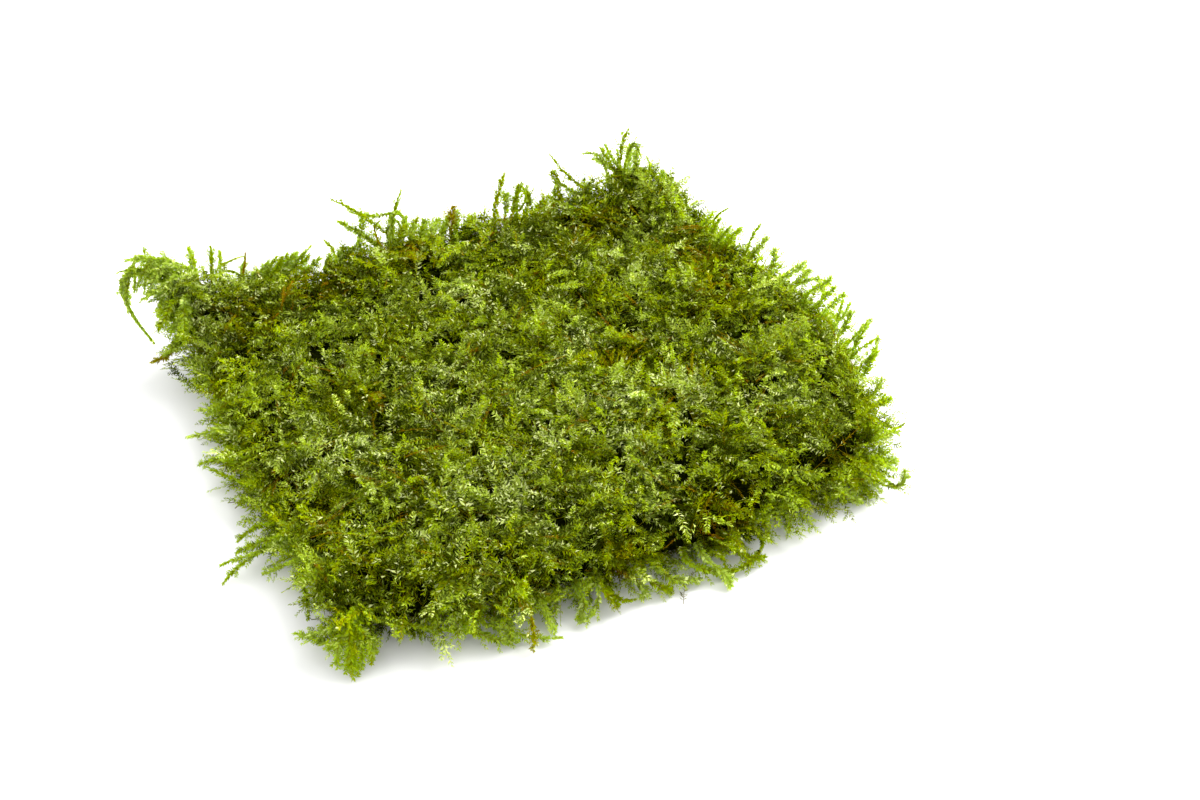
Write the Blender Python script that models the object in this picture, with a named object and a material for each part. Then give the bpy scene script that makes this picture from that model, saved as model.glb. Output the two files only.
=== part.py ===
"""A clump of feather moss: a rectangular mat of tangled shoots, and the single shoots that stand clear of it.

Metres, +Z up. The origin is under the middle of the mat, on the surface that it lies on.
+X runs along the mat's long side, and +Y runs across it, away from its front edge.
"""
import math
import random

import bmesh
import bpy
from mathutils import Matrix, Vector, noise
from mathutils.bvhtree import BVHTree

MM = 0.001
UP = Vector((0, 0, 1))

# the mat, without the tufts that stand on it
MAT_LENGTH = 118 * MM
MAT_WIDTH = 101 * MM
MAT_THICK = 16 * MM

# the grid of tufts: one for each cell of the top, and one for each cell of the wall
COLUMNS = 29
ROWS = 25

# the wall from the top's edge to the flat underside: (inset from the outline, share of the thickness)
WALL = (
    (5.0 * MM, 1.0),
    (1.5 * MM, 0.78),
    (0.0 * MM, 0.50),
    (0.5 * MM, 0.24),
    (1.5 * MM, 0.06),
    (6.5 * MM, 0.0),
)
LAST_RING = len(WALL) - 1
UNDERSIDE_DRAW = 1.6  # how far the underside draws back where the edge is lifted, for each metre of lift
CORNER_PULL = 0.03  # share by which the four corners are rounded off
CELL_JITTER = 1.1 * MM

# where an edge swells out, or draws in, from the straight outline: (mm outwards, middle along the edge, reach)
LEFT_SWELLS = ((3.5, 12, 26), (9.5, 51, 12), (-3.5, -36, 15))
RIGHT_SWELLS = ((8, -10, 26), (-1.5, 35, 14))
FRONT_SWELLS = ((6, 14, 27), (6.5, -28, 18), (-2, 20, 6))

# where the edge stands off the floor: (mm upwards, x, y, reach)
LIFTS = (
    (8, -64, 50, 20),  # the curled corner
    (4, -34, -54, 15),  # the arch in the front edge
    (3, -62, -38, 10),  # beside the foot at the front corner
)

# rises and hollows of the top: (mm upwards, x, y, reach)
TOP_RELIEF = (
    (5, -64, 50, 15),  # the curled corner
    (4.5, 43, 44, 13),  # the peak at the back right corner
    (-3, 14, -44, 9),  # the dark hollow over the front edge
    (-3, 50, -42, 7),  # the hollow at the right corner
    (-2.5, -22, 6, 6),  # the hollow in the middle
    (-2.5, -40, 44, 10),  # the dip along the back left
)
BACK_RIDGE = (3, 50, 9)  # mm upwards, y, reach
RIGHT_RISE = (2, 60, 45)  # mm upwards, x, reach
LEFT_FALL = (5.5, -72, 26, -20)  # mm downwards, x, reach, and the x at which it ends
LEFT_FALL_ENDS = (56, 34)  # y and reach of the corner where the left side is not thin
LUMPS = ((1.7, 13, 0), (1.1, 6, 40))  # mm, width, seed height

TUFT = 3.4 * MM
TUFT_SPREAD = 1.3 * MM
WALL_TUFT = 4.6 * MM
TUFT_DRIFT = 9 * MM  # tufts closer than this lean the same way and are about as long
SPIKE_SHARE = 0.30  # share of the wall's cells whose tuft is a long, tapering spray
SPIKE_EXTRA = 2.4 * MM
SPIKE_WAIST = 0.5  # how wide a spray is at its waist, as a share of its foot
WALL_SLOPE = 0.6  # a cell whose normal rises less than this is part of the wall
UPWARD = (0.15, 0.35)  # how much tufts turn up, on the top and more on the wall
TUFT_LEAN = 0.4
TUFT_CHANCE = 0.18
TUFT_PATCH = 0.5  # how much longer or shorter the tufts of one patch are
TIP_ABOVE_FLOOR = 0.4 * MM
GROWTH_SEED = 11
DRIFT_SEED = 1795833588  # of the lean that near tufts share: never 0, which would take the time of day

# single shoots
GAP = 0.3 * MM
SHOOT_STEP = 1.1 * MM  # distance between the teeth of a leafy shoot
SECTION_FLATNESS = 0.42
WELD = 0.001 * MM
LEAFY = 1.15 * MM  # half the width of a shoot with its leaves
SLIM = 0.75 * MM
BARE = 0.4 * MM
TOOTH = 0.55  # width between two leaf pairs, as a share of the width across them
TIP_WIDTH = 0.25  # share of the full width
TIP_SWELL = 0.3  # share of the full width gained at each tooth

# each shoot: where it leaves the mat, the point that its bend leans to, its tip (all in mm), its half width
SHOOTS = {
    "corner_hooked_stem": ((-66, 52, 21.5), (-82, 57, 26), (-72, 50, 4.5), BARE),
    "corner_tip_shoot": ((-68, 53, 20), (-69.5, 55, 23), (-69, 56, 26.5), SLIM),
    "corner_shoot_left": ((-60, 51, 17), (-60, 53, 20.5), (-59.5, 54, 25.5), LEAFY),
    "corner_shoot_right": ((-56.5, 50, 18), (-55.5, 52, 21.5), (-55, 53, 25), SLIM),
    "corner_red_stem": ((-51.5, 49, 15), (-49, 50, 17.5), (-48, 51, 22.5), BARE),
    "corner_hanging_shoot": ((-65, 45, 10), (-69, 38.5, 8), (-74, 39, 8), LEAFY),
    "back_arch_low_shoot": ((-18.5, 49, 18), (-22, 51, 21.5), (-26, 53, 24), SLIM),
    "back_arch_long_shoot": ((-15, 50, 19), (-20, 52, 25.5), (-26.5, 54, 29.5), SLIM),
    "back_arch_upright_shoot": ((-14.5, 48, 20), (-14, 50, 24.5), (-10.5, 52, 29), SLIM),
    "back_brown_shoot": ((-0.5, 48, 18.5), (0, 49, 20.5), (1, 50, 23), LEAFY),
    "back_tall_shoot": ((10.5, 48, 19.5), (12, 50, 24.5), (14.5, 51, 28), LEAFY),
    "back_short_shoot": ((16, 48, 18.5), (16.5, 50, 21.5), (17.5, 50, 25), SLIM),
    "back_leaning_shoot": ((32.5, 48, 22), (29.5, 50, 24), (26, 51, 30.5), LEAFY),
    "back_curled_shoot": ((38.5, 46, 25.5), (39, 50, 29.5), (34.5, 52, 28), SLIM),
    "back_small_shoot": ((42, 48, 25), (41.5, 50, 27), (40, 51, 30), SLIM),
    "peak_shoot": ((42.5, 47, 27), (43, 48, 31.5), (45.5, 49, 34), SLIM),
    "peak_drooping_shoot": ((43.5, 45, 29.5), (45, 45, 35), (46.5, 44, 29), SLIM),
    "right_bare_stem": ((56, 23.5, 20), (55, 20.5, 25), (57, 18.5, 27), BARE),
    "right_shoot_1": ((62.5, 16.5, 18), (63, 16, 21), (64, 15, 23), SLIM),
    "right_shoot_2": ((63.5, 2, 17), (64.5, -1.5, 21), (66.5, -2, 23), LEAFY),
    "right_shoot_3": ((65, -1, 16), (66.5, -3.5, 20), (69.5, -5, 19), SLIM),
    "right_shoot_4": ((68, -8, 16), (68, -10, 19), (69, -11, 21.5), LEAFY),
    "right_shoot_5": ((68, -23, 14), (68.5, -23.5, 18), (70, -24, 21.5), LEAFY),
    "right_shoot_6": ((67, -29, 11), (69, -29, 15), (71.5, -25.5, 17.5), LEAFY),
    "right_shoot_7": ((63.5, -37.5, 9), (64.5, -39.5, 12), (66.5, -40, 13), LEAFY),
    "right_curled_stem": ((64, -40.5, 8), (66, -44, 6.5), (68, -44, 8.5), BARE),
    "right_corner_shoot": ((58.5, -54, 3), (62.5, -56, 2), (63, -53, 5), SLIM),
    "front_low_shoot": ((26, -60, 3), (21, -63.5, 1.5), (15, -60, 1.5), SLIM),
    "front_low_spur": ((18.5, -60, 1.5), (18, -62, 1), (17.5, -64.5, 1), SLIM),
    "front_orange_stem": ((-22.5, -61.5, 7), (-23, -64, 5), (-23.5, -64.5, 1), SLIM),
    "front_level_shoot": ((-30, -57, 3.5), (-24, -62, 1.5), (-17.5, -64, 1.5), SLIM),
    "front_middle_shoot": ((-8.5, -60, 5), (-9.5, -62.5, 3), (-13.5, -62, 1.5), SLIM),
    "front_middle_tip": ((-5.5, -60, 4), (-4.5, -62, 3), (-1.5, -61.5, 2.5), SLIM),
    "foot_shoot_left": ((-59, -52, 6), (-61, -49.5, 6), (-63.5, -46.5, 5), LEAFY),
    "foot_shoot_middle": ((-54.5, -53.5, 10), (-55.5, -55.5, 5), (-56, -58, 1.2), LEAFY),
    "foot_shoot_right": ((-52.5, -54.5, 9), (-51, -55.5, 6), (-52, -56.5, 2), LEAFY),
    "left_drooping_shoot": ((-59.5, -39, 8), (-59.5, -41.5, 6), (-60, -42.5, 3), SLIM),
    "left_long_shoot": ((-62.5, -24, 6), (-68.5, -24.5, 5), (-73, -25.5, 1), SLIM),
    "left_long_spur": ((-68, -24, 5), (-70, -23, 4), (-72.5, -22.5, 3), SLIM),
    "left_lower_shoot": ((-64.5, -6, 8), (-67, -2, 7), (-69.5, 2, 7), LEAFY),
    "left_upper_shoot": ((-66.5, 10, 9), (-69, 11, 8), (-71.5, 12.5, 7), LEAFY),
}
BROWN_SHOOTS = ("corner_red_stem", "back_brown_shoot", "front_orange_stem", "corner_hanging_shoot")

MOSS_GREEN = (0.135, 0.185, 0.012, 1)
SHOOT_GREEN = (0.20, 0.28, 0.03, 1)
STEM_BROWN = (0.30, 0.13, 0.02, 1)


def clear_scene():
    for obj in list(bpy.data.objects):
        bpy.data.objects.remove(obj, do_unlink=True)


def new_collection(name):
    collection = bpy.data.collections.new(name)
    bpy.context.scene.collection.children.link(collection)
    return collection


def moss_material(name, colour, roughness):
    material = bpy.data.materials.new(name)
    material.use_nodes = True
    shader = material.node_tree.nodes["Principled BSDF"]
    shader.inputs["Base Color"].default_value = colour
    shader.inputs["Roughness"].default_value = roughness
    shader.inputs["Metallic"].default_value = 0.0
    material.diffuse_color = colour
    return material


def hump(value, middle, reach):
    """1 at the middle, fading to nothing over the reach. All in mm."""
    return math.exp(-(((value - middle) / reach) ** 2))


def between(low, high, share):
    return low + (high - low) * share


def swelling(swells, along):
    """How far an edge stands out at a place along it, in metres."""
    return sum(size * hump(along, middle, reach) for size, middle, reach in swells) * MM


def relief(mounds, x, y):
    """The height that a list of mounds gives at a place, in metres."""
    return sum(size * hump(x, at_x, reach) * hump(y, at_y, reach) for size, at_x, at_y, reach in mounds) * MM


def thickness(x, y):
    """Height of the top over the floor, under the tufts."""
    ridge, ridge_y, ridge_reach = BACK_RIDGE
    rise, rise_x, rise_reach = RIGHT_RISE
    fall, fall_x, fall_reach, fall_end = LEFT_FALL
    thick_corner = hump(y, *LEFT_FALL_ENDS)
    sides = ridge * hump(y, ridge_y, ridge_reach) + rise * hump(x, rise_x, rise_reach)
    sides -= fall * hump(min(x, fall_end), fall_x, fall_reach) * (1 - thick_corner)
    lumps = sum(size * noise.noise(Vector((x / width, y / width, seed))) for size, width, seed in LUMPS)
    return MAT_THICK + relief(TOP_RELIEF, x, y) + (sides + lumps) * MM


def mat_point(u, v, ring):
    """Where a point of the unit pad lies. u and v run over the top, ring counts down the wall."""
    inset, level = WALL[ring]
    straight_x = u * MAT_LENGTH / 2 / MM
    straight_y = v * MAT_WIDTH / 2 / MM
    left = -MAT_LENGTH / 2 - swelling(LEFT_SWELLS, straight_y)
    right = MAT_LENGTH / 2 + swelling(RIGHT_SWELLS, straight_y)
    front = -MAT_WIDTH / 2 - swelling(FRONT_SWELLS, straight_x)
    back = MAT_WIDTH / 2
    if ring == LAST_RING:
        inset += relief(LIFTS, straight_x, straight_y) * UNDERSIDE_DRAW
    draw = 1 - CORNER_PULL * abs(u * v) ** 6
    x = between(left, right, (1 + u * draw * (1 - inset / (MAT_LENGTH / 2))) / 2)
    y = between(front, back, (1 + v * draw * (1 - inset / (MAT_WIDTH / 2))) / 2)
    if ring == LAST_RING:
        return Vector((x, y, 0))
    edge_height = relief(LIFTS, x / MM, y / MM)
    return Vector((x, y, between(edge_height, thickness(x / MM, y / MM), level)))


def unit_pad():
    """An open pad on the unit square, whose z is minus the number of the wall's ring."""
    bm = bmesh.new()
    bmesh.ops.create_grid(bm, x_segments=COLUMNS, y_segments=ROWS, size=1)
    rim = [edge for edge in bm.edges if edge.is_boundary]
    for _ in range(LAST_RING):
        made = bmesh.ops.extrude_edge_only(bm, edges=rim)["geom"]
        bmesh.ops.translate(bm, verts=[item for item in made if isinstance(item, bmesh.types.BMVert)], vec=-UP)
        rim = [item for item in made if isinstance(item, bmesh.types.BMEdge) and item.is_boundary]
    return bm


def shape_pad(bm, dice):
    """Lays the unit pad out at its real size and closes its underside. Returns the cells that carry tufts."""
    on_floor = set()
    for vert in bm.verts:
        ring = round(-vert.co.z)
        vert.co = mat_point(vert.co.x, vert.co.y, ring)
        if ring == LAST_RING:
            on_floor.add(vert)
        else:
            vert.co += Vector([dice.uniform(-CELL_JITTER, CELL_JITTER) for _ in range(3)])
            vert.co.z = max(vert.co.z, TIP_ABOVE_FLOOR)
    cells = [face for face in bm.faces if not on_floor.intersection(face.verts)]
    cells.sort(key=lambda cell: cell.calc_center_median().to_tuple())  # extruding keeps no fixed order
    bmesh.ops.holes_fill(bm, edges=[edge for edge in bm.edges if edge.is_boundary])
    bmesh.ops.recalc_face_normals(bm, faces=bm.faces)
    return cells


def growth(place, normal, dice):
    """Which way, and how far, a tuft stands out of the mat."""
    steep = 1 - max(normal.z, 0)
    lean = noise.noise_vector(place / TUFT_DRIFT)
    chance = Vector([dice.uniform(-1, 1) for _ in range(3)])
    rising = UP * (UPWARD[0] + UPWARD[1] * steep)
    direction = (normal + rising + lean * TUFT_LEAN + chance * TUFT_CHANCE).normalized()
    patch = 1 + TUFT_PATCH * noise.noise(place / TUFT_DRIFT + UP)
    length = between(TUFT, WALL_TUFT, steep) * patch + dice.uniform(-1, 1) * TUFT_SPREAD
    return direction, length


def grow_tufts(bm, cells, dice):
    """Raises every cell to a tuft. Some cells of the wall first run out to a narrow waist, as a long spray."""
    long_ones = [cell for cell in cells if cell.normal.z < WALL_SLOPE and dice.random() < SPIKE_SHARE]
    plain_ones = [cell for cell in cells if cell not in set(long_ones)]
    waists = bmesh.ops.extrude_discrete_faces(bm, faces=long_ones)["faces"]
    for waist in waists:
        direction, _ = growth(waist.calc_center_median(), waist.normal, dice)
        centred = Matrix.Translation(-waist.calc_center_median())
        bmesh.ops.scale(bm, vec=Vector((1, 1, 1)) * SPIKE_WAIST, verts=waist.verts, space=centred)
        bmesh.ops.translate(bm, verts=waist.verts, vec=direction * SPIKE_EXTRA)
    bm.normal_update()
    tips = bmesh.ops.poke(bm, faces=plain_ones + list(waists))["verts"]
    bm.normal_update()
    for tip in tips:
        direction, length = growth(tip.co, tip.normal, dice)
        tip.co += direction * length
        tip.co.z = max(tip.co.z, TIP_ABOVE_FLOOR)


def make_mat(collection, material):
    """The whole mat as one solid. Returns its surface, for the shoots to keep clear of."""
    noise.seed_set(DRIFT_SEED)
    dice = random.Random(GROWTH_SEED)
    bm = unit_pad()
    cells = shape_pad(bm, dice)
    grow_tufts(bm, cells, dice)
    bmesh.ops.recalc_face_normals(bm, faces=bm.faces)
    mesh = bpy.data.meshes.new("moss_mat")
    bm.to_mesh(mesh)
    surface = BVHTree.FromBMesh(bm)
    bm.free()
    mesh.materials.append(material)
    mat = bpy.data.objects.new("moss_mat", mesh)
    collection.objects.link(mat)
    return surface


def make_section(collection):
    """The flattened section of a full leafy shoot. Slimmer shoots sweep it at a smaller radius."""
    outline = bpy.data.curves.new("shoot_section", "CURVE")
    outline.dimensions = "2D"
    spline = outline.splines.new("POLY")
    corners = ((1, 0), (0, SECTION_FLATNESS), (-1, 0), (0, -SECTION_FLATNESS))
    spline.points.add(len(corners) - 1)
    for point, (x, y) in zip(spline.points, corners):
        point.co = (x * LEAFY, y * LEAFY, 0, 1)
    spline.use_cyclic_u = True
    section = bpy.data.objects.new("shoot_section", outline)
    section.hide_render = True
    section.display_type = "WIRE"
    collection.objects.link(section)
    return section


def shoot_route(root, bend, tip, surface):
    """Points from the shoot's tip back along its arc, and then straight to the mat."""
    length = (bend - root).length + (tip - bend).length
    steps = max(3, round(length / SHOOT_STEP))
    arc = []
    for step in range(steps + 1):
        t = 1 - step / steps
        arc.append(root * (1 - t) ** 2 + bend * 2 * t * (1 - t) + tip * t**2)
    foot, _, _, distance = surface.find_nearest(root)
    run = round(distance / SHOOT_STEP)
    return arc + [root.lerp(foot, (step + 1) / run) for step in range(run)]


def half_widths(count, widest):
    """Narrow at the tip, and full with a tooth for each pair of leaves from there down."""
    widths = []
    for index in range(count):
        swell = min(1, TIP_WIDTH + TIP_SWELL * index)
        tooth = TOOTH if index % 2 == 0 and widest > BARE else 1
        widths.append(widest * swell * tooth)
    return widths


def clear_stretch(route, widths, surface, taken):
    """The shoot from its tip to where it comes within a gap of the mat, or of a shoot made before it."""
    stretch = []
    for place, width in zip(route, widths):
        near_mat = surface.find_nearest(place)[3] < width + GAP
        if near_mat or any((place - other).length < width + reach + GAP for other, reach in taken):
            break
        stretch.append((place, width))
    return stretch


def make_shoot(name, shape, surface, taken, section, material):
    """One shoot as a tapering tube of flattened section. What it fills is added to the places taken."""
    root, bend, tip, widest = shape
    route = shoot_route(Vector(root) * MM, Vector(bend) * MM, Vector(tip) * MM, surface)
    clear = clear_stretch(route, half_widths(len(route), widest), surface, taken)
    taken.extend(clear)
    curve = bpy.data.curves.new(name, "CURVE")
    curve.dimensions = "3D"
    curve.bevel_mode = "OBJECT"
    curve.bevel_object = section
    curve.use_fill_caps = True
    spline = curve.splines.new("POLY")
    spline.points.add(len(clear) - 1)
    for point, (place, width) in zip(spline.points, clear):
        point.co = (*place, 1)
        point.radius = width / LEAFY
    return close_shoot(bpy.data.objects.new(name, curve), material)


def close_shoot(tube, material):
    """The swept tube as a mesh of its own, with its two ends welded on."""
    bpy.context.scene.collection.objects.link(tube)
    evaluated = tube.evaluated_get(bpy.context.evaluated_depsgraph_get())
    mesh = bpy.data.meshes.new_from_object(evaluated)
    bm = bmesh.new()
    bm.from_mesh(mesh)
    bmesh.ops.remove_doubles(bm, verts=bm.verts, dist=WELD)
    bmesh.ops.recalc_face_normals(bm, faces=bm.faces)
    bm.to_mesh(mesh)
    bm.free()
    mesh.materials.clear()
    mesh.materials.append(material)
    name = tube.name
    bpy.data.objects.remove(tube)
    return bpy.data.objects.new(name, mesh)


def main():
    clear_scene()
    parts = new_collection("moss_clump")
    guides = new_collection("guides")
    mat_material = moss_material("matted_moss", MOSS_GREEN, 0.85)
    leafy_material = moss_material("leafy_shoot", SHOOT_GREEN, 0.75)
    brown_material = moss_material("brown_stem", STEM_BROWN, 0.7)
    surface = make_mat(parts, mat_material)
    section = make_section(guides)
    taken = []
    for name, shape in SHOOTS.items():
        material = brown_material if name in BROWN_SHOOTS else leafy_material
        parts.objects.link(make_shoot(name, shape, surface, taken, section, material))


main()
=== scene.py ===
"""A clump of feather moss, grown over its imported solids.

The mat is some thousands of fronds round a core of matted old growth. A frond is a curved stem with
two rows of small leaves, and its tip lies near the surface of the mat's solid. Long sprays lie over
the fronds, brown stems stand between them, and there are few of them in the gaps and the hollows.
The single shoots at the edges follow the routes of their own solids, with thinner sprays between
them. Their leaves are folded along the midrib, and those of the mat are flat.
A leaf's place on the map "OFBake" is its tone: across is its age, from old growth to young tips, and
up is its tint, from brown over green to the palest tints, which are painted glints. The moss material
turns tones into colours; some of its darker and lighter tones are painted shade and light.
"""
import math
from collections import namedtuple

import bmesh
import bpy
import numpy as np
from bpy.props import FloatProperty, FloatVectorProperty, IntProperty, PointerProperty
from bpy.types import Operator, Panel, PropertyGroup
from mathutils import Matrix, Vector, noise
from mathutils.bvhtree import BVHTree
from mathutils.kdtree import KDTree


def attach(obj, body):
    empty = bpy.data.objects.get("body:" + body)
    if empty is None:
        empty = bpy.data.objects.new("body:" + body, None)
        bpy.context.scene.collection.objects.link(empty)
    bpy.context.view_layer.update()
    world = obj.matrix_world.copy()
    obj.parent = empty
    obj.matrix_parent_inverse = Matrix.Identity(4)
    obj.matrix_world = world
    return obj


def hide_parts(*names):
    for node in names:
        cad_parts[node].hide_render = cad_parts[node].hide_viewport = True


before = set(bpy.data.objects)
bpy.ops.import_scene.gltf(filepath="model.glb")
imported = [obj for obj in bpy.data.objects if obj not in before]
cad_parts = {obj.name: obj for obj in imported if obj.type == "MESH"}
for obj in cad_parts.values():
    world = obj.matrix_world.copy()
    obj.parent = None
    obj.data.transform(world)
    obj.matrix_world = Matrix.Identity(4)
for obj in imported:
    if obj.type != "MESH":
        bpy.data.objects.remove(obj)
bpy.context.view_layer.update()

bl_info = {
    "name": "Moss clump",
    "version": (1, 0, 0),
    "blender": (4, 5, 0),
    "location": "View3D > Sidebar > Moss",
    "description": "Grows a clump of feather moss over its packed solids",
    "category": "Add Mesh",
}

MM = 0.001
UP = np.array((0.0, 0.0, 1.0))
TONE_MAP = "OFBake"
MAT = "moss_mat"
FRONDS_IN_TUFT = 9
# a tuft of the solid: how far its tip stands over the middle of the corners round it, and over each
LEAST_TUFT = 1 * MM
TIP_LEAD = 0.5 * MM
# the underside: its faces' normals look down by more than this, and their middles are below this
UNDERSIDE_NORMAL = -0.9
UNDERSIDE_TOP = 1 * MM
# the way out of the mat's surface: its z where the top ends, where the wall is full, and where a frond
# belongs to the pieces of the top
TOP_END = 0.9
WALL_FULL = 0.45
TOP_PIECE = 0.6

# the core of old growth
CORE_VOXEL = 1.6 * MM
TUFT_SMOOTHINGS = 5  # rounds that take the tufts off the solid
CORE_SMOOTHINGS = 10
CORE_LUMPS = ((0.9 * MM, 6 * MM), (0.5 * MM, 1.8 * MM))  # height and width
# how deep it lies under the mat's underside and its walls, as a share of its depth under the top
CORE_UNDERSIDE_SHARE = 0.25
CORE_WALL_SHARE = 0.68
# the normal's z below which the core's surface is underside, and below which it is wall
CORE_UNDERSIDE = -0.7
CORE_WALL = 0.8
CORE_ABOVE_FLOOR = 0.6 * MM
# the core is brown litter where it is low and where it looks down, and elsewhere nearly black, which is
# painted shade: the height and the normal's z at which that starts, and those at which it is full
LOW = (3.6 * MM, 3.0 * MM)
DOWNWARD = (-0.5, -0.75)
WELD = 0.001 * MM
NEAR_CORE = 1 * MM  # closer to the core than this, the way out of the mat is the core's own normal

# gaps in the mat's top, where fronds are few and the core, painted near black as shade, shows: x, y and
# reach, in mm
GAPS = (
    (-19, -9.4, 2.6),
    (-42, 27, 2),
    (-36, -8.5, 2),
    (-3, 8, 2.2),
    (23, -34, 2.2),
    (2, 19, 1.7),
    (36, -20, 1.7),
    (6, 41, 1.6),
)
# hollows in the mat's walls, where no frond reaches and the fronds round them are painted darker as shade:
# x, y, z and reach, in mm
HOLLOWS = (
    (12.5, -58, 11.5, 3.8),
    (14.5, -54.5, 7.5, 3.8),
    (7.5, -60, 12, 3.4),
    (10, -55.5, 7.5, 3.8),
    (16.5, -56, 10, 2.4),
    (20.8, -51.6, 14, 2),
    (24.2, -51.5, 14, 2),
    (26.8, -50.3, 13.5, 1.8),
    (50.5, -49, 12, 3),
    (46, -50.5, 13.5, 2.8),
    (54, -47.5, 11, 2.6),
    (42.5, -51.5, 6.7, 2.4),
    (15.2, -43.4, 12.7, 2),
    (2.5, -55.5, 5.5, 3),
    (-3, -58, 6, 2.5),
    (-59.8, -46, 6.5, 3.5),
    (-57.5, -41.5, 4, 3.5),
    (-49, -57, 3, 3),
    (-49.5, -51.8, 6, 2.3),
    (-46.5, -52.7, 6.2, 2.5),
    (-43, -54, 6.8, 2.3),
    (-57.2, -58.2, 0.5, 1.5),
    (-40, -60, 2, 3),
    (-33.5, -63, 3.5, 2),
    (58, -57, 3, 2.5),
)
HOLLOW_SHADE = (0.65, 0.08)  # painted shade: how much darker (older on the tone map) and browner the fronds in a hollow are
# where many leaves are pale, which is painted glints: x, y and reach, in mm
GLINT_PATCHES = (
    (-20, -3, 7),
    (-5, 21, 6),
    (-20, -35, 8),
    (11, -25, 8),
    (26, -22, 6),
    (-5, -28, 6),
    (-45, -14, 9),
    (41, -37, 6),
    (37, 17, 5),
    (9, 1, 4),
    (-60, 47, 10),
)
# where brown stems and brownish leaves are many: x, y and reach, in mm
BROWN_PATCHES = (
    (-52, 34, 7),
    (-35, 42, 10),
    (-12, 42, 8),
    (-34, -2, 5),
    (18, -8, 6),
    (46, 0, 7),
    (48, 15, 8),
    (-2, -58, 6),
    (22, -57, 6),
    (30, 34, 6),
    (13, 51, 6),
    (-14, 50, 6),
    (27, 50, 5),
    (40, 48, 4),
    (-56, -56, 5),
)
# where growth is young and bright, partly young growth and partly painted light on the glowing rims and the
# shaded front edge: x, y and reach, in mm
YOUNG_LIT_PATCHES = (
    (66, -26, 8),
    (68, -12, 8),
    (64, 4, 8),
    (54, 46, 8),
    (-63, 49, 9),
    (-61, 18, 6),
    (58, -44, 6),
    (16, -26, 5),
    (-60, -26, 6),
    (-38, -64, 6),
    (-56, -58, 7),
    (-23, -64, 6),
    (19, -64, 5),
)
# where it is old and dark, partly old growth and partly painted shade on gaps, hollows and shaded tufts: x,
# y and reach, in mm
SHADED_OLD_PATCHES = (
    (14, -56, 7),
    (48, -49, 6),
    (6, 40, 6),
    (2, 19, 5),
    (36, -20, 5),
    (-7, -56, 5),
    (41, -44, 5),
    (-35, -11, 5),
    (-58, 34, 5),
    (17, 39, 5),
    (-48, -53, 5),
    (-46, 39, 7),
    (-33, 37, 6),
)

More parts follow.
